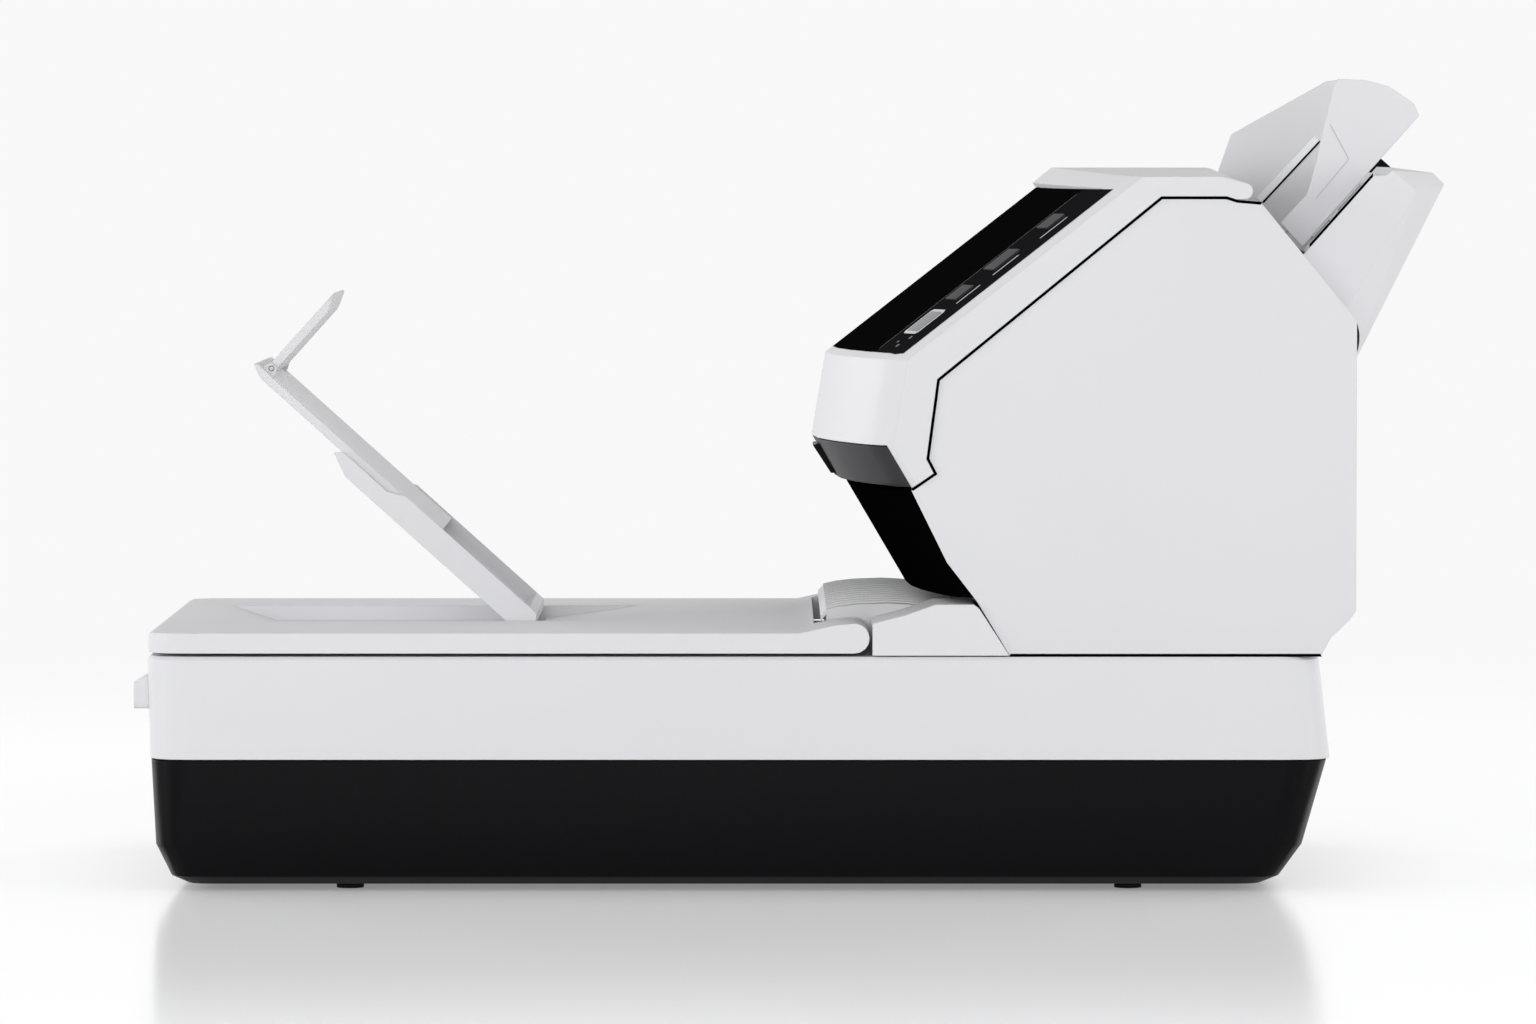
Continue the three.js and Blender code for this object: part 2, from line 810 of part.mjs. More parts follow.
// Document cover: a shallow shell whose rear end is rounded round its hinge
const stackerPivot = {
  x: coverHinge.x - stacker.pivotFromHinge,
  z: coverTop - stacker.recessDepth + seat + stacker.barrelRadius,
};
const stackerNear = feed.centreY - stacker.width / 2;
const stackerFar = feed.centreY + stacker.width / 2;
const archNear = feed.centreY - ramp.archWidth / 2;
const archFar = feed.centreY + ramp.archWidth / 2;
const coverLip = cover.edgeRadius / 2;
const padFront = platen.front + cover.padClearance;
const padRear = platen.front + platen.length - cover.padClearance;
const padSide = platen.width / 2 - cover.padClearance;

function makeCoverShell() {
  const profile = [
    ...arc(coverHinge.x, coverHinge.z, cover.noseRadius, -90, 90, 8),
    [coverHinge.x - cover.flareShoulder, coverHinge.z + cover.noseRadius - cover.flareDrop],
    [coverHinge.x - cover.flareLength, coverTop],
    ...arc(cover.edgeRadius, coverTop - cover.edgeRadius, cover.edgeRadius, 90, 180, 3),
    ...arc(coverLip, coverUnder + coverLip, coverLip, 180, 270, 2),
  ];
  const plan = rounded([
    [0, -half, cover.cornerRadius], [cover.length + overrun, -half],
    [cover.length + overrun, half], [0, half, cover.cornerRadius],
  ]);
  const slab = common(
    alongY(profile, -half, half),
    alongZ(plan, coverUnder - overrun, coverTop + cover.noseRadius * 2),
  );
  const recessFront = stackerPivot.x - stacker.length - stacker.recessFront;
  const recessRear = stackerPivot.x + stacker.barrelRadius + wall;
  const recessFloor = coverTop - stacker.recessDepth;
  const recess = alongY([
    [recessFront - stacker.recessRamp, coverTop + overrun],
    [recessFront - stacker.recessRamp, coverTop], [recessFront, recessFloor],
    [recessRear, recessFloor], [recessRear, coverTop + overrun],
  ], stackerNear - running * 2, stackerFar + running * 2);
  const pocket = alongY([
    [recessRear - running, coverTop - stacker.pocketDepth],
    [recessRear + wall, coverTop - stacker.pocketDepth],
    [recessRear + stacker.pocketLength, coverTop + seat],
    [recessRear - running, coverTop + seat],
  ], stackerNear - running * 2, stackerFar + running * 2);
  const keep = block(
    recessFront - stacker.recessRamp - wall, recessRear + stacker.pocketLength * 0.7,
    stackerNear - stacker.trunnionLength * 2, stackerFar + stacker.trunnionLength * 2,
    coverUnder - overrun * 2, coverTop,
  );
  const ribAcross = [0.24, 0.5, 0.76].map((share) => {
    const y = -padSide + share * 2 * padSide;
    return block(0, cover.length, y, y + cover.ribWidth, coverUnder - overrun * 2, coverTop);
  });
  const ribAlong = [0.75, 0.88].map((share) => {
    const x = padFront + share * (padRear - padFront);
    return block(x, x + cover.ribWidth, -half, half, coverUnder - overrun * 2, coverTop);
  });
  const hollow = cut(
    block(
      padFront + cover.hollowMargin, padRear - cover.hollowMargin,
      -padSide + cover.hollowMargin, padSide - cover.hollowMargin,
      coverUnder - overrun, coverTop - wall,
    ),
    keep, ...ribAcross, ...ribAlong,
  );
  const sweep = ramp.archSweep + seat * 5;
  const archCut = joined(
    rodY(coverHinge.x, coverHinge.z, sweep, archNear - running * 2, archFar + running * 2, 40),
    block(
      coverHinge.x, cover.length + overrun, archNear - running * 2, archFar + running * 2,
      coverUnder - overrun, coverTop + sweep,
    ),
  );
  const pinReach = cover.pinReach + seat;
  const pinBores = [[archNear - pinReach, archNear], [archFar, archFar + pinReach]].map(
    ([y0, y1]) => rodY(coverHinge.x, coverHinge.z, cover.pinRadius + seat, y0, y1, shaftSteps),
  );
  const trunnionBore = rodY(
    stackerPivot.x, stackerPivot.z, stacker.trunnionRadius + seat,
    stackerNear - stacker.trunnionLength - seat, stackerFar + stacker.trunnionLength + seat, 12,
  );
  return cut(slab, recess, pocket, hollow, archCut, ...pinBores, trunnionBore);
}

add('document_cover_shell', makeCoverShell(), whitePlastic);
add('document_pad', alongZ(
  rectangle(padFront, padRear, -padSide, padSide, platen.cornerRadius),
  glassTop + cover.padRelief, coverUnder - seat,
), padWhite);
const pinLength = cover.pinReach + cover.hingeWall - seat;
for (const [place, y] of [['near', archNear - cover.pinReach], ['far', archFar - cover.hingeWall + seat]]) {
  const pin = rodY(coverHinge.x, coverHinge.z, cover.pinRadius, y, y + pinLength, shaftSteps);
  add(`cover_hinge_pin_${place}`, pin, steel);
}

// Stacker pieces are drawn folded flat, pointing from the pivot to the front, then turned up
function raised(body, pivot, angle) {
  const place = new THREE.Matrix4().makeTranslation(pivot.x, 0, pivot.z);
  const turn = new THREE.Matrix4().makeRotationY(angle * degree);
  const fromPivot = new THREE.Matrix4().makeTranslation(-pivot.x, 0, -pivot.z);
  return body.transform(place.multiply(turn).multiply(fromPivot).elements);
}
const stackerFloor = stackerPivot.z - stacker.barrelRadius;
const onStacker = (points) => points.map(([along, above]) => [
  stackerPivot.x - along, stackerFloor + above,
]);
const extensionRear = stacker.length - stacker.extensionOverlap;
const extensionBottom = stacker.railHeight + seat;
const extensionTop = extensionBottom + stacker.extensionThickness;
const extensionNear = stackerNear + stacker.sideWall + running;
const extensionFar = stackerFar - stacker.sideWall - running;
const stopperAxis = {
  along: stacker.extensionReach - stacker.stopperBack,
  above: extensionTop + seat + stacker.stopperThickness / 2,
};
const stopperNear = feed.centreY - stacker.stopperWidth / 2;
const stopperFar = feed.centreY + stacker.stopperWidth / 2;

function makeStackerTray() {
  const tallEnd = stacker.tallLength;
  const lowEnd = stacker.length;
  const side = alongY(onStacker([
    [-stacker.barrelRadius * 0.7, stacker.barrelRadius * 0.5],
    [-stacker.barrelRadius * 0.7, stacker.sideHeight * 0.7], [0, stacker.sideHeight],
    [tallEnd, stacker.sideHeight], [tallEnd + stacker.tipHeight, stacker.tipHeight],
    [lowEnd - stacker.bevel / 4, stacker.tipHeight], [lowEnd, stacker.tipHeight * 0.6],
    [lowEnd - stacker.bevel, 0], [0, 0],
  ]), stackerNear, stackerFar);
  const inside = alongY(onStacker([
    [stacker.barrelRadius + wall, stacker.plate], [stacker.barrelRadius, stacker.sideHeight + overrun],
    [lowEnd + overrun, stacker.sideHeight + overrun], [lowEnd + overrun, stacker.plate],
  ]), stackerNear + stacker.sideWall, stackerFar - stacker.sideWall);
  const spread = stackerFar - stackerNear;
  const rails = [0.12, 0.37, 0.63, 0.88].map((share) => {
    const y = stackerNear + share * spread - stacker.railWidth / 2;
    return alongY(onStacker([
      [0, 0], [lowEnd - stacker.bevel, 0], [lowEnd - stacker.bevel / 2, stacker.railHeight],
      [0, stacker.railHeight],
    ]), y, y + stacker.railWidth);
  });
  const barrel = rodY(
    stackerPivot.x, stackerPivot.z, stacker.barrelRadius, stackerNear, stackerFar,
  );
  const trunnions = rodY(
    stackerPivot.x, stackerPivot.z, stacker.trunnionRadius,
    stackerNear - stacker.trunnionLength, stackerFar + stacker.trunnionLength, 12,
  );
  return joined(cut(side, inside), ...rails, barrel, trunnions);
}

function makeStackerExtension() {
  const reach = stacker.extensionReach;
  const plate = alongY(onStacker([
    [extensionRear, extensionBottom], [reach - stacker.extensionLip, extensionBottom],
    [reach, extensionTop - stacker.plate / 2], [reach - stacker.plate / 2, extensionTop],
    [extensionRear, extensionTop],
  ]), extensionNear, extensionFar);
  const spread = extensionFar - extensionNear;
  const channelCount = 5;
  const channels = Array.from({ length: channelCount }, (_, i) => {
    const pitch = spread / channelCount;
    return block(
      stackerPivot.x - reach + stacker.extensionLip * 2,
      stackerPivot.x - extensionRear - stacker.plate,
      extensionNear + i * pitch + stacker.plate / 2, extensionNear + (i + 1) * pitch - stacker.plate / 2,
      stackerFloor + extensionBottom - overrun, stackerFloor + extensionTop - stacker.plate * 0.7,
    );
  });
  const earFoot = stopperAxis.along + stacker.stopperThickness;
  const ears = [stopperNear - wall - running, stopperFar + running].map((y) => alongY(onStacker([
    [stopperAxis.along - stacker.stopperThickness, extensionTop - seat],
    [earFoot, extensionTop - seat],
    [stopperAxis.along + stacker.stopperThickness / 2, stopperAxis.above + stacker.stopperThickness / 2],
    [stopperAxis.along - stacker.stopperThickness / 2, stopperAxis.above + stacker.stopperThickness / 2],
  ]), y, y + wall));
  const [[axisX, axisZ]] = onStacker([[stopperAxis.along, stopperAxis.above]]);
  const bore = rodY(
    axisX, axisZ, stacker.plate / 2 + seat, stopperNear - wall * 2, stopperFar + wall * 2, 12,
  );
  return cut(joined(cut(plate, ...channels), ...ears), bore);
}

function makePaperStopper() {
  const thin = stacker.stopperThickness / 2;
  const { along, above } = stopperAxis;
  const top = above - thin + stacker.stopperHeight;
  const side = alongY(onStacker([
    [along - thin, above], [along - thin, top - stacker.stopperTip], [along + thin * 0.6, top],
    [along + thin, top], [along + thin, above],
  ]), stopperNear, stopperFar);
  const [[axisX, axisZ]] = onStacker([[along, above]]);
  const face = alongX(rounded([
    [stopperNear, axisZ - overrun, 0], [stopperFar, axisZ - overrun, 0],
    [stopperFar, stackerFloor + top, stacker.stopperTip],
    [stopperNear, stackerFloor + top, stacker.stopperTip],
  ]), axisX - stacker.stopperHeight, axisX + stacker.stopperHeight);
  return joined(
    common(side, face),
    rodY(axisX, axisZ, thin, stopperNear, stopperFar, 12),
    rodY(axisX, axisZ, stacker.plate / 2, stopperNear - wall, stopperFar + wall, 12),
  );
}

const raiseStacker = (body) => raised(body, stackerPivot, stacker.angle);
add('stacker_tray', raiseStacker(makeStackerTray()), whitePlastic);
add('stacker_extension', raiseStacker(makeStackerExtension()), whitePlastic);
add('paper_stopper', raiseStacker(makePaperStopper()), whitePlastic);

// Exit ramp: a housing with a cheek on each side, and a ribbed arch between the cheeks
const crestZ = deckTop + ramp.crestHeight;
const rampBase = deckTop + seam;
const cheekOutline = [
  [rampFront, rampBase], [rampRear, rampBase],
  [rampFront + ramp.length * 0.78, crestZ - ramp.cheekRadius * 0.4],
  [rampFront + ramp.length * 0.74, crestZ], [rampFront + ramp.length * 0.46, crestZ],
  [rampFront + ramp.length * 0.24, crestZ - ramp.cheekRadius], [rampFront, deckTop + ramp.cheekFrontHeight],
];
const archShares = [
  [0, 0.66], [0.03, 0.78], [0.1, 0.84], [0.2, 0.88], [0.36, 0.9], [0.47, 0.88], [0.6, 0.8],
  [0.7, 0.68], [0.82, 0.5], [0.91, 0.42], [0.98, 0.5],
];
const archLeft = coverHinge.x - ramp.archLeft;
const archCurve = archShares.map(([along, up]) => [
  archLeft + along * (rampRear - archLeft),
  deckTop + up * ramp.crestHeight,
]);

function makeRampHousing() {
  const cheek = (y0, y1, in0, in1) => cut(
    alongY(cheekOutline, y0, y1),
    common(
      alongY(offset(cheekOutline, -wall), in0, in1),
      block(0, towerRear, -half, half, rampBase, crestZ),
    ),
    block(
      rampFront + wall, rampRear - wall * 3, in0, in1, rampBase - overrun, rampBase + wall * 2,
    ),
  );
  return joined(
    cheek(-half, archNear - seat, -half + wall, archNear - seat - wall),
    cheek(archFar + seat, half, archFar + seat + wall, half - wall),
    block(
      rampFront + ramp.cheekRadius, rampRear - wall * 4, archNear - wall, archFar + wall,
      rampBase, rampBase + ramp.floor,
    ),
  );
}

function makeRampArch() {
  const under = archCurve.map(([x, z]) => [x, z - ramp.archThickness]);
  const skin = alongY([...archCurve, ...under.reverse()], archNear, archFar);
  const floor = rampBase + ramp.floor + seat;
  const wedge = alongY([
    ...archCurve.slice(1, -1).map(([x, z]) => [x, z - ramp.archThickness / 2]),
    [archCurve.at(-2)[0], floor], [archCurve[1][0], floor],
  ], archNear, archFar);
  const web = (y0, y1) => common(wedge, block(0, towerRear, y0, y1, 0, towerTop));
  const inner = (archFar - archNear) / 3;
  const webs = joined(
    web(archNear, archNear + cover.hingeWall), web(archFar - cover.hingeWall, archFar),
    web(archNear + inner, archNear + inner + ramp.webWidth),
    web(archFar - inner - ramp.webWidth, archFar - inner),
  );
  const ribLine = archCurve.slice(1, -1);
  const rib = [
    ...ribLine.map(([x, z]) => [x, z + ramp.ribHeight]),
    ...ribLine.toReversed().map(([x, z]) => [x, z - ramp.archThickness / 2]),
  ];
  const pitch = (archFar - archNear) / ramp.ribCount;
  const ribs = Array.from({ length: ramp.ribCount }, (_, i) => {
    const middle = archNear + (i + 0.5) * pitch;
    return alongY(rib, middle - ramp.ribWidth / 2, middle + ramp.ribWidth / 2);
  });
  const bores = [archNear, archFar - cover.hingeWall].map((y) => rodY(
    coverHinge.x, coverHinge.z, cover.pinRadius + seat, y - overrun, y + cover.hingeWall + overrun,
    shaftSteps,
  ));
  return cut(joined(skin, webs, ...ribs), ...bores);
}

add('exit_ramp_housing', makeRampHousing(), whitePlastic);
add('exit_ramp_ribbed', makeRampArch(), rampGrey);

// Feeder tower: outer panels, rear case and the frame plates that carry the rollers
const panelSides = { near: -1, far: 1 };
for (const [place, side] of Object.entries(panelSides)) {
  const body = loftAcross([
    [side * half, offset(towerOutline, -tower.bevelWidth)],
    [side * (half - tower.bevel), towerOutline],
    [side * (half - tower.panel), towerOutline],
  ]);
  add(`adf_side_panel_${place}`, body, whitePlastic);
}

// Bodies drawn along the sheet path, with X up the path and Z above it, then tilted into place
const tilt = new THREE.Matrix4()
  .makeTranslation(feedStart.x, 0, feedStart.z)
  .multiply(new THREE.Matrix4().makeRotationY(-feedAngle));
const tilted = (body) => body.transform(tilt.elements);
const caseSide = half - tower.panel - seat;

function makeRearCase() {
  const outer = towerOutline.slice(2, 8);
  const inner = offset(towerOutline, -wall).slice(2, 8).reverse();
  const inlet = tilted(block(
    feed.length - tower.bevel * 10, feed.length + overrun * 6, frameNear, frameFar,
    -feed.guide - running, hopper.inletHeight,
  ));
  return cut(alongY([...outer, ...inner], -caseSide, caseSide), inlet);
}

const hoodHinge = { x: towerRear - hood.hingeFromRear, z: towerTop + hood.hingeRise };
const driven = {
  eject_roller: rollers.ejectAt,
  feed_roller_downstream: rollers.downstreamAt,
  feed_roller_upstream: rollers.upstreamAt,
};
const tyreAxis = rollers.crown - rollers.tyreRadius;
const pickAxis = rollers.crown - rollers.pickRadius;
const brakeAxis = rollers.crown + seat + rollers.brakeRadius;
const idlerAxis = rollers.crown + seat + rollers.idlerRadius;
const tyreCentres = [-1, 0, 1].map((i) => feed.centreY + i * rollers.tyrePitch);
const frameNear = feedNear - wall;
const frameFar = feedFar + wall;

// Shares of the tower's depth for the frame plate's riser, and of the sheet path for its arm
const riserShares = { front: 0.27, rear: 0.88 };
const armShares = { foot: 0.92, rear: 0.97, top: 0.985, front: 0.94 };
const armHeight = { rear: 30, front: 33 };

function makeFramePlate(y0, y1, footSide) {
  const inside = offset(towerOutline, -tower.frameInset);
  const lower = alongY(pathOutline([
    [rollers.ejectAt / 2, -tower.depth], [feed.length * 0.97, -tower.depth],
    [feed.length * 0.97, -running], [rollers.ejectAt / 2, -running],
  ]), y0, y1);
  const feet = block(
    towerFront + tower.depth * 0.27, towerFront + tower.depth * 0.88,
    footSide < 0 ? y0 - hopper.guideFoot : y0, footSide < 0 ? y1 : y1 + hopper.guideFoot,
    towerBase, towerBase + sheetMetal,
  );
  const riser = block(
    towerFront + tower.depth * riserShares.front, towerFront + tower.depth * riserShares.rear, y0, y1,
    towerBase, towerBase + tower.frameInset * 3,
  );
  const arm = alongY([
    ...pathOutline([
      [feed.length * armShares.foot, -overrun],
      [feed.length * armShares.rear, -overrun],
      [feed.length * armShares.top, armHeight.rear],
    ]),
    [hoodHinge.x + overrun, hoodHinge.z + hood.shaftRadius / 2],
    [hoodHinge.x - overrun, hoodHinge.z + hood.shaftRadius / 2],
    ...pathOutline([[feed.length * armShares.front, armHeight.front]]),
  ], y0, y1);
  const ear = rodY(hoodHinge.x, hoodHinge.z, hood.rearRadius - seat / 2, y0, y1);
  const hole = (x, z, radius) => rodY(
    x, z, radius + seat, y0 - overrun, y1 + overrun, shaftSteps,
  );
  const holes = Object.values(driven).map((along) => {
    const [x, z] = onPath(along, tyreAxis);
    return hole(x, z, rollers.shaftRadius);
  });
  const [pickX, pickZ] = onPath(rollers.pickAt, pickAxis);
  holes.push(hole(pickX, pickZ, rollers.shaftRadius));
  holes.push(hole(hoodHinge.x, hoodHinge.z, hood.shaftRadius));
  holes.push(hole(feedMotor.x, feedMotor.z, feedMotor.shaft));
  return cut(joined(common(alongY(inside, y0, y1), lower), feet, riser, arm, ear), ...holes);
}

// Motor of the feeder, on the near frame plate, and the belt from it to the rollers
const feedMotor = {
  x: towerFront + tower.depth * 0.66,
  z: towerBase + tower.height * 0.24,
  radius: 20,
  length: 34,
  shaft: 2.5,
};
const pulleyNear = frameNear - sheetMetal - running - rollers.pulleyWidth;

function makeDrivenRoller(along) {
  const [x, z] = onPath(along, tyreAxis);
  const tyres = tyreCentres.map((y) => rodY(
    x, z, rollers.tyreRadius, y - rollers.tyreWidth / 2, y + rollers.tyreWidth / 2,
  ));
  return joined(
    rodY(
      x, z, rollers.shaftRadius, pulleyNear - rollers.flange, frameFar + sheetMetal + running,
      shaftSteps,
    ),
    rodY(x, z, rollers.pulleyRadius, pulleyNear, pulleyNear + rollers.pulleyWidth),
    ...tyres,
  );
}

function makePickRoller() {
  const [x, z] = onPath(rollers.pickAt, pickAxis);
  return joined(
    rodY(
      x, z, rollers.shaftRadius, frameNear - sheetMetal - running,
      frameFar + sheetMetal + running, shaftSteps,
    ),
    rodY(
      x, z, rollers.pickRadius, feed.centreY - rollers.pickWidth / 2,
      feed.centreY + rollers.pickWidth / 2,
    ),
  );
}

function windows(rows, low, high) {
  return rows.flatMap(([along, reach, centres, breadth]) => centres.map((y) => tilted(block(
    along - reach, along + reach, y - breadth / 2 - running * 2, y + breadth / 2 + running * 2,
    low - overrun, high + overrun,
  ))));
}

function makeLowerGuide() {
  const plate = tilted(block(
    rollers.ejectAt / 2 + wall, feed.length - running, frameNear + seat, frameFar - seat,
    -feed.guide, 0,
  ));
  const tyreWindows = windows(
    Object.values(driven).map((along) => [along, rollers.tyreRadius, tyreCentres, rollers.tyreWidth]),
    -feed.guide, 0,
  );
  const others = windows([
    [rollers.sensorAt, sensor.length / 2 + seat, [feed.centreY], sensor.width],
    [rollers.pickAt, rollers.pickRadius * 0.95, [feed.centreY], rollers.pickWidth],
  ], -feed.guide, 0);
  return cut(plate, ...tyreWindows, ...others);
}

const sensor = { length: 22, width: 212, depth: 20, glass: 0.2 };

add('adf_rear_case', makeRearCase(), whitePlastic);
add('adf_frame_near', makeFramePlate(frameNear - sheetMetal, frameNear, -1), steel);
add('adf_frame_far', makeFramePlate(frameFar, frameFar + sheetMetal, 1), steel);
add('lower_paper_guide', makeLowerGuide(), blackPlastic);
for (const [name, along] of Object.entries(driven)) add(name, makeDrivenRoller(along), rubber);
add('pick_roller', makePickRoller(), rubber);
add('lower_image_sensor', tilted(block(
  rollers.sensorAt - sensor.length / 2, rollers.sensorAt + sensor.length / 2,
  feed.centreY - sensor.width / 2, feed.centreY + sensor.width / 2, -sensor.depth, -sensor.glass,
)), blackPlastic);
add('adf_motor', rodY(
  feedMotor.x, feedMotor.z, feedMotor.radius, frameNear + seat, frameNear + seat + feedMotor.length,
), steel);
add('adf_motor_pulley', joined(
  rodY(feedMotor.x, feedMotor.z, rollers.pulleyRadius, pulleyNear, pulleyNear + rollers.pulleyWidth),
  rodY(
    feedMotor.x, feedMotor.z, feedMotor.shaft, pulleyNear - rollers.flange, frameNear, shaftSteps,
  ),
), steel);

// Belt round the outside of pulleys of one radius, given in order round the loop
function beltRound(centres, radius, thickness, y0, y1) {
  const loop = (reach) => centres.flatMap(([x, z], i) => {
    const [bx, bz] = centres.at(i - 1);
    const [nx, nz] = centres[(i + 1) % centres.length];
    const from = Math.atan2(z - bz, x - bx) / degree - 90;
    const turn = (Math.atan2(nz - z, nx - x) / degree - 90 - from + 360) % 360;
    return arc(x, z, reach, from, from + turn, Math.max(1, Math.round(turn / 20)));
  });
  return cut(
    alongY(loop(radius + thickness), y0, y1),
    alongY(loop(radius), y0 - overrun, y1 + overrun),
  );
}
const feedBelt = beltRound(
  [onPath(rollers.ejectAt, tyreAxis), [feedMotor.x, feedMotor.z], onPath(rollers.upstreamAt, tyreAxis)],
  rollers.pulleyRadius + seat, rollers.beltThickness,
  pulleyNear + running, pulleyNear + rollers.pulleyWidth - running,
);
add('adf_drive_belt', feedBelt, rubber);

// Feeder cover. Its front and slope bow outwards between the sides, and its top is crowned
function bowAt(y, bow) {
  const share = y / half;
  const edge = Math.max(0, (Math.abs(y) - half + hood.cornerDepth) / hood.cornerDepth);
  return bow * (1 - share * share) - hood.cornerSoftness * edge * edge;
}
const stationShares = [0, 0.3, 0.55, 0.76, 0.9, 0.965, 1];
const stations = [...stationShares.slice(1).map((share) => -share).reverse(), ...stationShares];

// Body across Y whose outline points are [x, z, share of the bow, share of the crown]
function bowed(outline, y0, y1, bow = hood.bow) {
  const middle = (y0 + y1) / 2;
  const reach = (y1 - y0) / 2;
  return loftAcross(stations.map((share) => {
    const y = middle + share * reach;
    const crown = hood.crown * (1 - (y / half) ** 2);
    const shift = bowAt(y, bow);
    return [y, outline.map(([x, z, bowShare = 0, crownShare = 0]) => [
      x - bowShare * shift, z + crownShare * crown,
    ])];
  }));
}

const slopeTop = [hoodHinge.x - hood.slopeTopFromHinge, towerTop + hood.top];
const slopeBottom = [towerFront + hood.slopeBottomX, towerTop - hood.slopeBottomDrop];
const chin = [towerFront + hood.chinX, towerTop - hood.chinDrop];
const chinEnd = [chin[0] + hood.chinReach, chin[1] - hood.chinRise];
const hoodRear = [hoodHinge.x - hood.rearRadius * 2.7, towerTop + hood.top];
const hoodOutline = [
  slopeTop, slopeBottom, chin, chinEnd,
  [towerFront + tower.depth * 0.12, towerTop - tower.height * 0.6],
  [hoodHinge.x - hood.rearRadius, hoodHinge.z - hood.rearRadius],
  ...arc(hoodHinge.x, hoodHinge.z, hood.rearRadius, -90, 60, 6),
  hoodRear,
];
const hoodBow = [1, 1, 1, 1, 0, 0, ...Array(7).fill(0), 0];
const hoodCrown = [1, 0, 0, 0, 0, 0, ...Array(7).fill(0), 1];
const withBow = (outline) => outline.map((point, i) => [...point, hoodBow[i], hoodCrown[i]]);

function hoodInside(skin) {
  const inner = offset(hoodOutline, -skin);
  const rearLimit = hoodHinge.x - hood.rearRadius - skin / 2;
  const deep = chinEnd[1] - tower.height * 0.2;
  return bowed([
    [...inner[0], 1, 1], [...inner[1], 1, 0], [chin[0] + skin, chin[1], 1, 0],
    [chin[0] - overrun, chin[1], 1, 0], [chin[0] - overrun, deep, 1, 0],
    [rearLimit, deep], [rearLimit, hoodHinge.z], [rearLimit, inner.at(-1)[1], 0, 1],
  ], -half + skin, half - skin);
}

function onSlope(share, rise) {
  const along = new THREE.Vector2(slopeTop[0] - slopeBottom[0], slopeTop[1] - slopeBottom[1]);
  const up = new THREE.Vector2(-along.y, along.x).normalize().multiplyScalar(rise);
  return [slopeBottom[0] + along.x * share + up.x, slopeBottom[1] + along.y * share + up.y];
}
const panelSide = half - panel.sideMargin;
function slopeSlab(start, end, low, high, y0, y1) {
  return bowed([
    [...onSlope(start, low), 1], [...onSlope(end, low), 1], [...onSlope(end, high), 1],
    [...onSlope(start, high), 1],
  ], y0, y1);
}
const keyY = -half + panel.keyColumn;
const keys = [
  ['menu_key', 0.36, 0.075], ['stop_key', 0.54, 0.11], ['scan_key', 0.75, 0.075],
];
const keyBody = (at, length, grow, low, high) => slopeSlab(
  at - length / 2 - grow / hood.bow / 5, at + length / 2 + grow / hood.bow / 5, low, high,
  keyY - panel.keyWidth / 2 - grow, keyY + panel.keyWidth / 2 + grow,
);

function makeHoodShell() {
  const body = cut(
    bowed(withBow(hoodOutline), -half, half),
    hoodInside(hood.wall),
    alongY(offset(towerOutline, seam), -half - overrun, half + overrun),
  );
  const slopeLength = Math.hypot(slopeTop[0] - slopeBottom[0], slopeTop[1] - slopeBottom[1]);
  const gap = seat / slopeLength;
  const tray = slopeSlab(
    panel.startShare - gap, panel.endShare + gap, -panel.thickness - seat * 1.5, overrun,
    -panelSide - seat, panelSide + seat,
  );
  const pad = cut(
    common(
      slopeSlab(
        panel.startShare - gap * 8, panel.endShare + gap * 8,
        -panel.thickness - hood.wall, -panel.thickness * 0.6, -panelSide - wall, panelSide + wall,
      ),
      hoodInside(hood.wall - seat),
    ),
    tray,
  );
  const keyWell = keys.map(([, at, length]) => keyBody(
    at, length, running, -panel.thickness * 4, overrun,
  ));
  const earNotch = [frameNear - sheetMetal, frameFar].map((y) => rodY(
    hoodHinge.x, hoodHinge.z, hood.rearRadius + hood.shaftRadius, y - running, y + sheetMetal + running,
  ));
  const bore = rodY(hoodHinge.x, hoodHinge.z, hood.shaftRadius + seat, -half + wall, half - wall, 16);
  return cut(joined(cut(body, tray), pad), ...keyWell, ...earNotch, bore);
}

add('adf_cover_shell', makeHoodShell(), whitePlastic);
add('adf_hinge_shaft', rodY(
  hoodHinge.x, hoodHinge.z, hood.shaftRadius, -half + wall + seat, half - wall - seat, 16,
), steel);
add('operator_panel', cut(
  slopeSlab(panel.startShare, panel.endShare, -panel.thickness, 0, -panelSide, panelSide),
  ...keys.map(([, at, length]) => keyBody(at, length, seat, -panel.thickness * 4, overrun)),
), glossBlack);
for (const [name, at, length] of keys) {
  add(name, keyBody(at, length, 0, -panel.keyDepth, panel.keyProud), keyGrey);
}

// Dark insert under the front of the feeder cover, with the lever that releases the cover
const insertSide = half - hood.wall - seat;
const lever = { width: 44, thickness: 3, slotDepth: 9, topDrop: 3, height: 15, pin: 1.5, pinReach: 4 };
const insertBow = (points) => points.map((point) => [...point, 1]);
const insertOutline = insertBow([
  [chin[0] + seat * 2, chin[1] - seam], [chinEnd[0] - seat, chinEnd[1] + seam],
  [chinEnd[0] + hood.wall, chinEnd[1] + hood.wall / 2],
  [chinEnd[0] + hood.chinReach * 0.6, chinEnd[1] + hood.chinRise * 0.4],
  [chinEnd[0] + hood.chinReach * 0.6, chin[1] - seam],
]);
const leverTop = [chin[0] + seat * 2 - hood.bow, chin[1] - lever.topDrop];
const leverAxis = { x: leverTop[0] + lever.slotDepth / 2, z: leverTop[1] - lever.thickness / 2 };

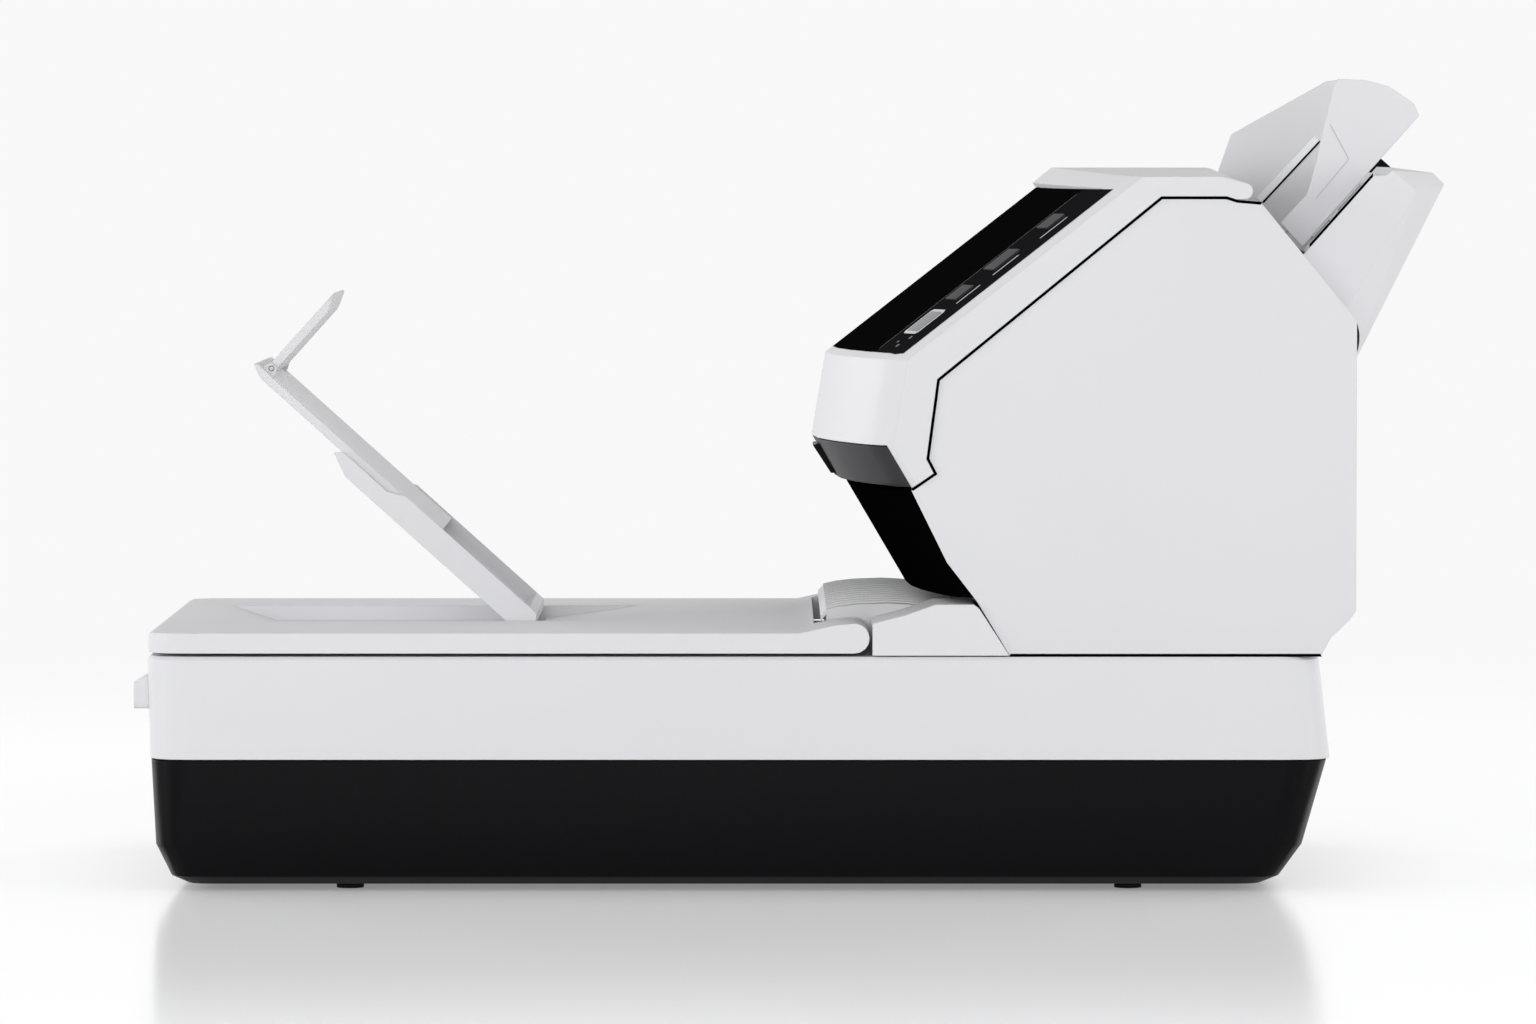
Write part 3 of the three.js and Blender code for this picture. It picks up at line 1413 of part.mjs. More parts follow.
function makeInsert() {
  const slotFoot = chin[1] - lever.height - lever.topDrop - seat * 3;
  const slot = bowed(insertBow([
    [chin[0] - overrun, chin[1] - lever.topDrop + seat],
    [chinEnd[0] - overrun, slotFoot],
    [chinEnd[0] + lever.slotDepth * 0.4, slotFoot],
    [chin[0] + lever.slotDepth, chin[1] - lever.topDrop + seat],
  ]), -lever.width / 2 - running, lever.width / 2 + running);
  const bore = rodY(
    leverAxis.x, leverAxis.z, lever.pin + seat, -lever.width / 2 - lever.pinReach - seat,
    lever.width / 2 + lever.pinReach + seat, 12,
  );
  return cut(bowed(insertOutline, -insertSide, insertSide), slot, bore);
}

function makeLever() {
  const lean = (hood.chinReach * lever.height) / hood.chinRise;
  const paddle = alongY([
    [leverTop[0], leverAxis.z], [leverTop[0] + lean, leverTop[1] - lever.height],
    [leverTop[0] + lean + lever.thickness, leverTop[1] - lever.height],
    [leverAxis.x + lever.thickness * 0.4, leverAxis.z], [leverAxis.x, leverTop[1]],
  ], -lever.width / 2, lever.width / 2);
  return joined(paddle, rodY(
    leverAxis.x, leverAxis.z, lever.pin, -lever.width / 2 - lever.pinReach,
    lever.width / 2 + lever.pinReach, 12,
  ));
}
add('cover_front_insert', makeInsert(), greyPlastic);
add('release_lever', makeLever(), blackPlastic);

// Exit body: the black lower front of the tower, over the slot that sheets leave through
const exitBody = { bow: 22, gap: 1.2, ramp: 3.4, lip: 8, upper: 57, topShare: 0.1 };
const exitTop = [chinEnd[0] - hood.wall * 2, chinEnd[1] - exitBody.gap];
const exitLip = [rampFront + ramp.length * 0.62, crestZ + exitBody.ramp];
const exitRear = [exitTop[0] + tower.depth * exitBody.topShare, exitTop[1] + seam];
const exitOutline = [
  exitTop, exitLip, onPath(exitBody.lip, feed.gap), onPath(exitBody.upper, feed.gap), exitRear,
];
const exitBowShares = [1, 1, 0.2, 0, 0];

function makeExitBody() {
  const withShares = (outline) => outline.map((point, i) => [...point, exitBowShares[i]]);
  const inner = offset(exitOutline, -wall);
  inner[3] = onPath(exitBody.upper + overrun * 2, feed.gap + wall);
  inner[4] = [exitRear[0] + overrun * 2, exitRear[1] - wall];
  return cut(
    bowed(withShares(exitOutline), -caseSide, caseSide, exitBody.bow),
    bowed(withShares(inner), -caseSide + wall, caseSide - wall, exitBody.bow),
    alongY(offset(towerOutline, seam), -half - overrun, -half + tower.panel),
  );
}
add('adf_exit_body', makeExitBody(), blackPlastic);

// Upper side of the sheet path, on the feeder cover
const upper = {
  start: 64,
  end: 222,
  plate: 1.6,
  cheek: 2,
  cheekInset: 1.5,
  rear: 212,
  rearHeight: 30,
  upstream: 150,
  frontShare: 0.6,
};
const upperBottom = feed.gap;
function makeUpperGuide() {
  const plate = tilted(block(
    upper.start, upper.end, feedNear + upper.cheekInset, feedFar - upper.cheekInset,
    upperBottom, upperBottom + upper.plate,
  ));
  const idlerWindows = windows(
    [[rollers.upstreamAt, rollers.idlerRadius + seat, tyreCentres, rollers.tyreWidth],
      [rollers.sensorAt, sensor.length / 2 + seat, [feed.centreY], sensor.width],
      [rollers.pickAt, rollers.brakeRadius + seat, [feed.centreY], rollers.pickWidth]],
    upperBottom, upperBottom + upper.plate,
  );
  const cheekSide = (y) => common(
    tilted(block(
      upper.start + overrun, upper.rear - overrun * 4, y, y + upper.cheek, upperBottom, tower.depth,
    )),
    common(
      hoodInside(hood.wall + panel.thickness + seat * 6),
      alongY(pathOutline([
        [upper.start, 0], [upper.rear, 0], [upper.rear, upper.rearHeight],
        [upper.upstream, tower.depth],
        [upper.start + overrun, tower.depth * upper.frontShare],
      ]), -half, half),
    ),
  );
  const holes = [
    [rollers.upstreamAt, idlerAxis], [rollers.pickAt, brakeAxis],
  ].map(([along, above]) => {
    const [x, z] = onPath(along, above);
    return rodY(x, z, rollers.idlerShaft + seat, -half, half, 12);
  });
  return cut(joined(
    cut(plate, ...idlerWindows),
    cheekSide(feedNear + upper.cheekInset), cheekSide(feedFar - upper.cheekInset - upper.cheek),
  ), ...holes);
}
function makeIdler(along, above, radius, centres, breadth) {
  const [x, z] = onPath(along, above);
  return joined(
    rodY(
      x, z, rollers.idlerShaft, feedNear + upper.cheekInset - running,
      feedFar - upper.cheekInset + running, shaftSteps,
    ),
    ...centres.map((y) => rodY(x, z, radius, y - breadth / 2, y + breadth / 2)),
  );
}
add('upper_paper_guide', makeUpperGuide(), blackPlastic);
add('upper_image_sensor', tilted(block(
  rollers.sensorAt - sensor.length / 2, rollers.sensorAt + sensor.length / 2,
  feed.centreY - sensor.width / 2, feed.centreY + sensor.width / 2,
  upperBottom + sensor.glass, upperBottom + sensor.depth,
)), blackPlastic);
add('idler_roller', makeIdler(
  rollers.upstreamAt, idlerAxis, rollers.idlerRadius, tyreCentres, rollers.tyreWidth,
), greyPlastic);
add('brake_roller', makeIdler(
  rollers.pickAt, brakeAxis, rollers.brakeRadius, [feed.centreY], rollers.pickWidth,
), rubber);

// Hopper: back shell on the rear slope, chute plate over it, and two side guides that slide
const shellNear = feedNear - 28;
const shellFar = feedFar + 16;
const plateTop = -seat;
const plateBottom = plateTop - hopper.plate;
const chuteStart = feed.length + tower.bevel;
const chuteEnd = chuteStart + hopper.plateLength;
const shellShares = [
  [0, 0], [0.635, 0], [0.687, -0.075], [0.752, -0.075], [0.9, -0.37], [0.8956, -0.507],
  [-0.333, -0.957], [-0.333, 0],
];
const shellSideShares = [
  [0, 0], [0.635, 0], [0.687, -0.075], [0.735, -0.085], [0.74, -0.33], [0.725, -0.365],
  [-0.333, -0.64], [-0.333, 0],
];
const shellPoints = (shares) => shares.map(([along, down]) => [
  chuteStart + along * hopper.length,
  plateTop + down * hopper.shellDepth,
]);
const shellOutline = shellPoints(shellShares);
const shellSideOutline = shellPoints(shellSideShares);
const guideNear = feed.centreY - feed.sheet / 2 - running * 2 - hopper.guideThickness;
const guideFar = feed.centreY + feed.sheet / 2 + running * 2;
const rackNearAt = chuteStart + hopper.length * 0.3;
const rackFarAt = rackNearAt + hopper.pinionRadius * 2 + hopper.rackWidth;
const rackTop = -hopper.rackDrop;
const extensionTopFace = plateBottom - running;
const extensionFront = chuteStart + hopper.extensionFront;
const acrossPath = (outline, y0, y1) => tilted(alongY(outline, y0, y1));

// The shell's form, whose rear edges are bevelled towards its sides
function shellForm(skin) {
  const full = offset(shellOutline, -skin);
  const side = offset(shellSideOutline, -skin);
  return tilted(loftAcross([
    [shellNear + skin, side], [shellNear + hopper.shellBevel, full],
    [shellFar - hopper.shellBevel, full], [shellFar - skin, side],
  ]));
}

function makeBackShell() {
  const outer = shellForm(0);
  const ledge = plateBottom - seat;
  const underPlate = tilted(block(
    chuteStart + wall, chuteEnd - wall * 2, shellNear + wall * 2, shellFar - wall * 2,
    ledge - wall, ledge,
  ));
  const pocket = common(
    joined(shellForm(wall), underPlate),
    acrossPath([
      [chuteStart + wall, ledge], [chuteStart + wall, -hopper.shellDepth],
      [chuteStart + hopper.length, -hopper.shellDepth], [chuteStart + hopper.length, ledge],
    ], shellNear + wall * 2, shellFar - wall * 2),
  );
  const plateSeat = acrossPath([
    [chuteStart - hopper.cornerRadius, ledge], [chuteEnd + seat, ledge],
    [chuteEnd + seat, overrun], [chuteStart - hopper.cornerRadius, overrun],
  ], shellNear + wall, shellFar - wall);
  const tongueNear = feed.centreY - hopper.extensionWidth / 2 - running;
  const tongueFar = feed.centreY + hopper.extensionWidth / 2 + running;
  const tongueSlot = tilted(joined(
    block(
      chuteStart + wall, chuteStart + hopper.length, tongueNear, tongueFar,
      extensionTopFace - hopper.extensionThickness - running, overrun,
    ),
    block(
      extensionFront - hopper.extensionLip - running, chuteStart + hopper.length,
      tongueNear, tongueFar, plateTop - hopper.extensionDepth - running, overrun,
    ),
  ));
  const boss = tilted(rodZ(
    rackNearAt + hopper.rackWidth / 2 + hopper.pinionRadius, feed.centreY, hopper.pinionRadius * 0.7,
    rackTop - hopper.shellDepth * 0.5, rackTop - hopper.rackWidth - seat * 2,
  ));
  const spindle = tilted(rodZ(
    rackNearAt + hopper.rackWidth / 2 + hopper.pinionRadius, feed.centreY, hopper.pinionRadius * 0.3,
    rackTop - hopper.shellDepth * 0.4, rackTop + seat, 12,
  ));
  return cut(
    joined(cut(outer, pocket, plateSeat, tongueSlot), common(joined(boss, spindle), outer)),
    alongY(offset(towerOutline, seat), -half, half),
  );
}

function makeChutePlate() {
  const slot = (at, y0, y1) => tilted(block(
    at - hopper.slotWidth / 2, at + hopper.slotWidth / 2, y0 - running, y1 + running,
    plateBottom - overrun, plateTop + overrun,
  ));
  const near = guideNear + hopper.guideThickness;
  return cut(
    tilted(alongZ(rectangle(
      chuteStart, chuteEnd, shellNear + wall + seat, shellFar - wall - seat, hopper.cornerRadius,
    ), plateBottom, plateTop)),
    slot(rackNearAt, guideNear, near + hopper.guideTravel),
    slot(rackFarAt, guideFar - hopper.guideTravel, guideFar + hopper.guideThickness),
  );
}

// A side guide: its fence, a foot under the sheets, and a rack that reaches through the plate
function makeSideGuide(fence, y0, inward, at, rackY0) {
  const y1 = y0 + hopper.guideThickness;
  const inset = hopper.guideThickness / 3;
  const footY = inward > 0
    ? [y0 + inset, y1 + hopper.guideFoot]
    : [y0 - hopper.guideFoot, y1 - inset];
  const base = plateTop + seat;
  const start = chuteStart + hopper.slotWidth;
  const end = chuteEnd - hopper.slotWidth;
  return tilted(joined(
    alongY(fence.map(([along, above]) => [
      chuteStart + along * hopper.length,
      base + Math.max(above * hopper.guideHeight, hopper.guideGap),
    ]), y0, y1),
    block(start, end, ...footY, base, base + hopper.guideFootHeight),
    block(
      at - hopper.tongue, at + hopper.tongue, y0, y1, rackTop - hopper.rackWidth, base + seat,
    ),
    block(
      at - hopper.rackWidth / 2, at + hopper.rackWidth / 2, rackY0, rackY0 + hopper.rackLength,
      rackTop - hopper.rackWidth, rackTop,
    ),
  ));
}
const nearFence = [
  [0.02, 0], [0.04, 0.31], [0.29, 0.305], [0.48, 0.44], [0.65, 0.58], [0.9, 0.77], [0.95, 0.79],
  [1.06, 0.6], [1.13, 0.4], [1.155, 0.13], [1.12, 0],
];
const farFence = [
  [0.02, 0], [0.08, 0.72], [0.12, 0.86], [0.36, 1], [1.04, 0.66], [1.09, 0.6], [1.155, 0.13],
  [1.12, 0],
];

function makePinion() {
  const x = rackNearAt + hopper.rackWidth / 2 + hopper.pinionRadius;
  const body = rodZ(x, feed.centreY, hopper.pinionRadius - seat, rackTop - hopper.rackWidth, rackTop - seat);
  const bore = rodZ(x, feed.centreY, hopper.pinionRadius * 0.3 + seat, -tower.depth, 0, 12);
  return tilted(cut(body, bore));
}

function makeChuteExtension() {
  const y0 = feed.centreY - hopper.extensionWidth / 2;
  const y1 = feed.centreY + hopper.extensionWidth / 2;
  return tilted(joined(
    block(
      extensionFront - hopper.extensionLength, extensionFront, y0, y1,
      extensionTopFace - hopper.extensionThickness, extensionTopFace,
    ),
    block(
      extensionFront - hopper.extensionLip, extensionFront, y0, y1,
      plateTop - hopper.extensionDepth, plateTop,
    ),
  ));
}

add('chute_back_shell', makeBackShell(), whitePlastic);
add('chute_plate', makeChutePlate(), whitePlastic);
add('side_guide_near', makeSideGuide(
  nearFence, guideNear, 1, rackNearAt, guideNear,
), whitePlastic);
add('side_guide_far', makeSideGuide(
  farFence, guideFar, -1, rackFarAt, guideFar + hopper.guideThickness - hopper.rackLength,
), whitePlastic);
add('guide_pinion', makePinion(), greyPlastic);
add('chute_extension', makeChuteExtension(), blackPlastic);

// The origin is below the middle of the machine's length
const rearmost = Math.max(...shellOutline.map((point) => onPath(...point)[0]));
scanner.position.x = (button.proud - rearmost) / 2;

export default scanner;
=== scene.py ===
"""A studio picture of a flatbed document scanner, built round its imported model.

Lengths are in metres. X runs from the front of the machine to its back, Y from its near side to its
far side, and Z is up.
"""

import json
import math

import bmesh
import bpy
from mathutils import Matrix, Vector
from mathutils.bvhtree import BVHTree


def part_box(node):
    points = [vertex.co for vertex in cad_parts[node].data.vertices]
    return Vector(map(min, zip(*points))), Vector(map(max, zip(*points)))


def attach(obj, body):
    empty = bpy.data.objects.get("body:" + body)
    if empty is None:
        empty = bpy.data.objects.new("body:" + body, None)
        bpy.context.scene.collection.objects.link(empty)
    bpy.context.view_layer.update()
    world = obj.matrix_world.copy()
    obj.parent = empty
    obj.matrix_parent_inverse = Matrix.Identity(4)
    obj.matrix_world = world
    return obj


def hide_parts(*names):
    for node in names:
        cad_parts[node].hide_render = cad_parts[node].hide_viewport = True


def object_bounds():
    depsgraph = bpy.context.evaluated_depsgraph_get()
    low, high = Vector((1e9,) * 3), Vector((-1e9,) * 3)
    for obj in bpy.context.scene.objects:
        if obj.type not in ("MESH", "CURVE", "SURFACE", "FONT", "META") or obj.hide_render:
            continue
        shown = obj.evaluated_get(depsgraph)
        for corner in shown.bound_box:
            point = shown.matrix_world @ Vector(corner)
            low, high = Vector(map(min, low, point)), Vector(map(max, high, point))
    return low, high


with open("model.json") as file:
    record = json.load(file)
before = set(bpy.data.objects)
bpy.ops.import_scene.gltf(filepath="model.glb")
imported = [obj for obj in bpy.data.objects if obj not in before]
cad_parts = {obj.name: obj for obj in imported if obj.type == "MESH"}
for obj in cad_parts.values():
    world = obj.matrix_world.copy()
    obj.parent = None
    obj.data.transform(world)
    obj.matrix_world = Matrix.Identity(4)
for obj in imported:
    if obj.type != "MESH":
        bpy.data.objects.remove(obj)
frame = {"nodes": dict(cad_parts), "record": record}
CAD_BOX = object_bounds()
MM = 0.001
SIDES = {"near": -1, "far": 1}
WHITE = (1, 1, 1, 1)

# Pieces other than prints keep this gap to the surface that they lie on
SKIN_GAP = 0.05 * MM
# A vertex this close to a plane lies in it
PLANE_REACH = 0.1 * MM


def add_object(name, data):
    thing = bpy.data.objects.new(name, data)
    bpy.context.scene.collection.objects.link(thing)
    return thing


def aim_at(thing, place):
    """Turns a camera or a lamp to look at a place."""
    way = Vector(place) - thing.location
    thing.rotation_euler = way.to_track_quat("-Z", "Y").to_euler()


# The photograph's camera: level with the feeder's top, far in front of the near side
PHOTO_WIDTH = 1536
CAMERA_DISTANCE = 3.867
CAMERA_X = -0.0103
CAMERA_Z = 0.354
AIM_Z = 0.1805
NEAR_PIXEL = 0.4714 * MM
SENSOR_WIDTH = 36.0


def make_camera():
    """A long lens that shows NEAR_PIXEL of the near side in each pixel of the photograph."""
    data = bpy.data.cameras.new("camera")
    data.sensor_width = SENSOR_WIDTH
    distance = math.hypot(CAMERA_DISTANCE, CAMERA_Z - AIM_Z)
    data.lens = SENSOR_WIDTH * distance / (PHOTO_WIDTH * NEAR_PIXEL)
    camera = add_object("camera", data)
    near_side_y = CAD_BOX[0].y
    camera.location = (CAMERA_X, near_side_y - CAMERA_DISTANCE, CAMERA_Z)
    aim_at(camera, (CAMERA_X, near_side_y, AIM_Z))
    bpy.context.scene.camera = camera


LAMP_AIM = (0, 0, 0.17)
# Each lamp's place, its width and height, and its power in watts
LAMPS = {
    "front_lamp": ((-0.5, -3.5, 0.9), (2.8, 1.4), 36),
    "left_lamp": ((-2.6, -0.9, 0.6), (1.2, 1.2), 18),
    "right_lamp": ((2.5, -1.2, 0.6), (1.2, 1.2), 16),
    "rear_left_lamp": ((-2.4, 2.4, 0.8), (1.4, 1.2), 24),
    "rear_right_lamp": ((2.4, 2.4, 0.8), (1.4, 1.2), 24),
}


def make_lamps():
    """Soft area lamps in front, at both sides and behind."""
    for name, (place, (width, height), power) in LAMPS.items():
        data = bpy.data.lights.new(name, "AREA")
        data.shape = "RECTANGLE"
        data.size = width
        data.size_y = height
        data.energy = power
        lamp = add_object(name, data)
        lamp.location = place
        aim_at(lamp, LAMP_AIM)


def fresh_nodes(owner):
    """The emptied node tree of a material or a world."""
    owner.use_nodes = True
    owner.node_tree.nodes.clear()
    return owner.node_tree


def set_input(tree, socket, value):
    """Gives a node's input a plain value or another node's output."""
    if isinstance(value, bpy.types.NodeSocket):
        tree.links.new(value, socket)
    else:
        socket.default_value = value


def add_node(tree, kind, inputs=None, **settings):
    """A shader node with its inputs and settings."""
    node = tree.nodes.new(kind)
    for key, value in settings.items():
        setattr(node, key, value)
    for key, value in (inputs or {}).items():
        set_input(tree, node.inputs[key], value)
    return node


def worked_out(tree, operation, first, second):
    """The output of an operation on two numbers."""
    return add_node(tree, "ShaderNodeMath", {0: first, 1: second}, operation=operation).outputs[0]


def mixed_color(tree, factor, low, high):
    """The output that turns from one colour to the other as the factor goes from 0 to 1."""
    node = add_node(tree, "ShaderNodeMix", {"Factor": factor}, data_type="RGBA")
    colors = [socket for socket in node.inputs if socket.type == "RGBA"]
    for socket, value in zip(colors, (low, high)):
        set_input(tree, socket, value)
    return next(socket for socket in node.outputs if socket.type == "RGBA")


def srgb(text):
    """A colour written as six hexadecimal digits, as linear red, green, blue and alpha."""
    values = [int(text[i:i + 2], 16) / 255 for i in (0, 2, 4)]
    linear = [v / 12.92 if v <= 0.04045 else ((v + 0.055) / 1.055) ** 2.4 for v in values]
    return (*linear, 1.0)


def scaled(color, factor):
    return (*[min(1.0, c * factor) for c in color[:3]], 1.0)


def seen_directly(tree):
    """1 for what the camera, a reflection or clear glass shows, and 0 for light on other things."""
    path = add_node(tree, "ShaderNodeLightPath")
    seen = path.outputs["Is Camera Ray"]
    for other in ("Is Glossy Ray", "Is Transmission Ray"):
        seen = worked_out(tree, "MAXIMUM", seen, path.outputs[other])
    return seen


# The white surround's strength as light on other things, and where it is seen directly
WORLD_LIGHT = 0.48
WORLD_SEEN = 0.94


def make_world():
    """A white surround that looks brighter than the light it gives."""
    world = bpy.data.worlds.new("studio")
    bpy.context.scene.world = world
    tree = fresh_nodes(world)
    strength = add_node(tree, "ShaderNodeMapRange", {
        "Value": seen_directly(tree), "To Min": WORLD_LIGHT, "To Max": WORLD_SEEN,
    })
    background = add_node(tree, "ShaderNodeBackground", {
        "Color": WHITE, "Strength": strength.outputs[0],
    })
    add_node(tree, "ShaderNodeOutputWorld", {"Surface": background.outputs[0]})


def start_material(name):
    """A new material, its node tree, and the place on the object that its textures follow."""
    material = bpy.data.materials.new(name)
    tree = fresh_nodes(material)
    return material, tree, add_node(tree, "ShaderNodeTexCoord").outputs["Object"]


FLOOR_REACH = 8
FLOOR_COLOR = "f4f4f5"
# Where the floor is seen directly, it glows by its lift and mirrors by its gloss
FLOOR_LIFT = 0.38
FLOOR_GLOSS = 0.42
FLOOR_ROUGHNESS = 0.16
# It fades into the background between these distances from the object's middle
FLOOR_FADE_START = 0.7
FLOOR_FADE_END = 1.7


def make_floor():
    """A polished pale floor that keeps the object's shadow and fades into the white background."""
    material, tree, place = start_material("floor")
    seen = seen_directly(tree)
    paint = add_node(tree, "ShaderNodeBsdfDiffuse", {"Color": srgb(FLOOR_COLOR)})
    glow = add_node(tree, "ShaderNodeEmission", {
        "Strength": worked_out(tree, "MULTIPLY", seen, FLOOR_LIFT),
    })
    lit = add_node(tree, "ShaderNodeAddShader", {0: paint.outputs[0], 1: glow.outputs[0]})
    polish = add_node(tree, "ShaderNodeBsdfAnisotropic", {
        "Color": WHITE, "Roughness": FLOOR_ROUGHNESS,
    })
    gloss = worked_out(tree, "MULTIPLY", seen, FLOOR_GLOSS)
    near = add_node(tree, "ShaderNodeMixShader", {
        0: gloss, 1: lit.outputs[0], 2: polish.outputs[0],
    })
    distance = add_node(tree, "ShaderNodeVectorMath", {0: place}, operation="LENGTH")
    fade = add_node(tree, "ShaderNodeMapRange", {
        "Value": distance.outputs["Value"],
        "From Min": FLOOR_FADE_START, "From Max": FLOOR_FADE_END,
    }, interpolation_type="SMOOTHSTEP")
    share = worked_out(tree, "MULTIPLY", fade.outputs[0], seen)
    white = add_node(tree, "ShaderNodeEmission", {"Color": WHITE, "Strength": WORLD_SEEN})
    mixed = add_node(tree, "ShaderNodeMixShader", {
        0: share, 1: near.outputs[0], 2: white.outputs[0],
    })
    add_node(tree, "ShaderNodeOutputMaterial", {"Surface": mixed.outputs[0]})
    corners = [(x * FLOOR_REACH, y * FLOOR_REACH, 0) for x, y in ((-1, -1), (1, -1), (1, 1), (-1, 1))]
    mesh = bpy.data.meshes.new("floor")
    mesh.from_pydata(corners, [], [(0, 1, 2, 3)])
    mesh.materials.append(material)
    floor = add_object("floor", mesh)


# Moulded plastic has large, faint flow marks, which change its tone and its roughness
FLOW_SCALE = 7.0
FLOW_DETAIL = 3.0
FLOW_TONES = (0.975, 1.02)
FLOW_ROUGHNESS = (-0.04, 0.05)
# Its fine grain comes from the spark-eroded mould
GRAIN_SIZE = 0.45 * MM
GRAIN_RELIEF = 0.15
GRAIN_DETAIL = 2.0
GRAIN_ROUGHNESS = 0.6
GRAIN_DEPTH_SHARE = 0.1
PLASTIC_EDGE = 0.7 * MM
EDGE_SAMPLES = 4
# The operator panel's strip of another colour runs from its near end up to this y
STRIP_END_Y = -0.1158


def make_plastic(
    name, color, roughness, shine, grain=GRAIN_SIZE, relief=GRAIN_RELIEF, strip_color=None,
):
    """Moulded plastic: a fine spark-eroded grain, slight flow marks and softened edges.

    Where a strip colour is given, it covers what lies nearer than the strip's end.
    """
    material, tree, place = start_material(name)
    flow = add_node(tree, "ShaderNodeTexNoise", {
        "Vector": place, "Scale": FLOW_SCALE, "Detail": FLOW_DETAIL,
    })
    dark, light = (scaled(srgb(color), tone) for tone in FLOW_TONES)
    tone = mixed_color(tree, flow.outputs["Fac"], dark, light)
    if strip_color:
        across = add_node(tree, "ShaderNodeSeparateXYZ", {"Vector": place}).outputs["Y"]
        inside = worked_out(tree, "LESS_THAN", across, STRIP_END_Y)
        tone = mixed_color(tree, inside, tone, srgb(strip_color))
    sparks = add_node(tree, "ShaderNodeTexNoise", {
        "Vector": place, "Scale": 1 / grain, "Detail": GRAIN_DETAIL, "Roughness": GRAIN_ROUGHNESS,
    })
    smoothest, roughest = (roughness + change for change in FLOW_ROUGHNESS)
    gloss = add_node(tree, "ShaderNodeMapRange", {
        "Value": flow.outputs["Fac"], "To Min": smoothest, "To Max": roughest,
    })
    soft = add_node(tree, "ShaderNodeBevel", {"Radius": PLASTIC_EDGE}, samples=EDGE_SAMPLES)
    bump = add_node(tree, "ShaderNodeBump", {
        "Strength": relief, "Distance": grain * GRAIN_DEPTH_SHARE, "Height": sparks.outputs["Fac"],
        "Normal": soft.outputs[0],
    })
    shader = add_node(tree, "ShaderNodeBsdfPrincipled", {
        "Base Color": tone, "Roughness": gloss.outputs[0], "Normal": bump.outputs[0],
        "Specular IOR Level": shine,
    })
    add_node(tree, "ShaderNodeOutputMaterial", {"Surface": shader.outputs[0]})
    return material


STEEL_COLOR = "b4b6ba"
STEEL_ROUGHNESS = (0.24, 0.44)
STEEL_STRETCH = (1, 60, 60)
STEEL_LINE_SCALE = 40.0
STEEL_LINE_DETAIL = 4.0
STEEL_LINE_DEPTH = 0.05 * MM
STEEL_RELIEF = 0.15
STEEL_EDGE = 0.3 * MM


def make_steel():
    """Rolled or turned steel, with fine lines along X."""
    material, tree, place = start_material("steel")
    along = add_node(tree, "ShaderNodeMapping", {"Vector": place, "Scale": STEEL_STRETCH})
    lines = add_node(tree, "ShaderNodeTexNoise", {
        "Vector": along.outputs[0], "Scale": STEEL_LINE_SCALE, "Detail": STEEL_LINE_DETAIL,
    })
    smoothest, roughest = STEEL_ROUGHNESS
    gloss = add_node(tree, "ShaderNodeMapRange", {
        "Value": lines.outputs["Fac"], "To Min": smoothest, "To Max": roughest,
    })
    soft = add_node(tree, "ShaderNodeBevel", {"Radius": STEEL_EDGE}, samples=EDGE_SAMPLES)
    bump = add_node(tree, "ShaderNodeBump", {
        "Strength": STEEL_RELIEF, "Distance": STEEL_LINE_DEPTH, "Height": lines.outputs["Fac"],
        "Normal": soft.outputs[0],
    })
    shader = add_node(tree, "ShaderNodeBsdfPrincipled", {
        "Base Color": srgb(STEEL_COLOR), "Metallic": 1.0, "Roughness": gloss.outputs[0],
        "Normal": bump.outputs[0],
    })
    add_node(tree, "ShaderNodeOutputMaterial", {"Surface": shader.outputs[0]})
    return material


GLASS_COLOR = (0.9, 0.96, 0.94, 1)
GLASS_ROUGHNESS = 0.02
GLASS_IOR = 1.5
GLASS_WAVE_SCALE = 6.0
GLASS_WAVE_DEPTH = 0.1 * MM
GLASS_RELIEF = 0.02


def make_glass():
    """Plate glass with a slight green tint and waves that hardly show."""
    material, tree, place = start_material("glass")
    wave = add_node(tree, "ShaderNodeTexNoise", {"Vector": place, "Scale": GLASS_WAVE_SCALE})
    bump = add_node(tree, "ShaderNodeBump", {
        "Strength": GLASS_RELIEF, "Distance": GLASS_WAVE_DEPTH, "Height": wave.outputs["Fac"],
    })
    shader = add_node(tree, "ShaderNodeBsdfPrincipled", {
        "Base Color": GLASS_COLOR, "Roughness": GLASS_ROUGHNESS, "IOR": GLASS_IOR,
        "Transmission Weight": 1.0, "Normal": bump.outputs[0],
    })
    add_node(tree, "ShaderNodeOutputMaterial", {"Surface": shader.outputs[0]})
    return material


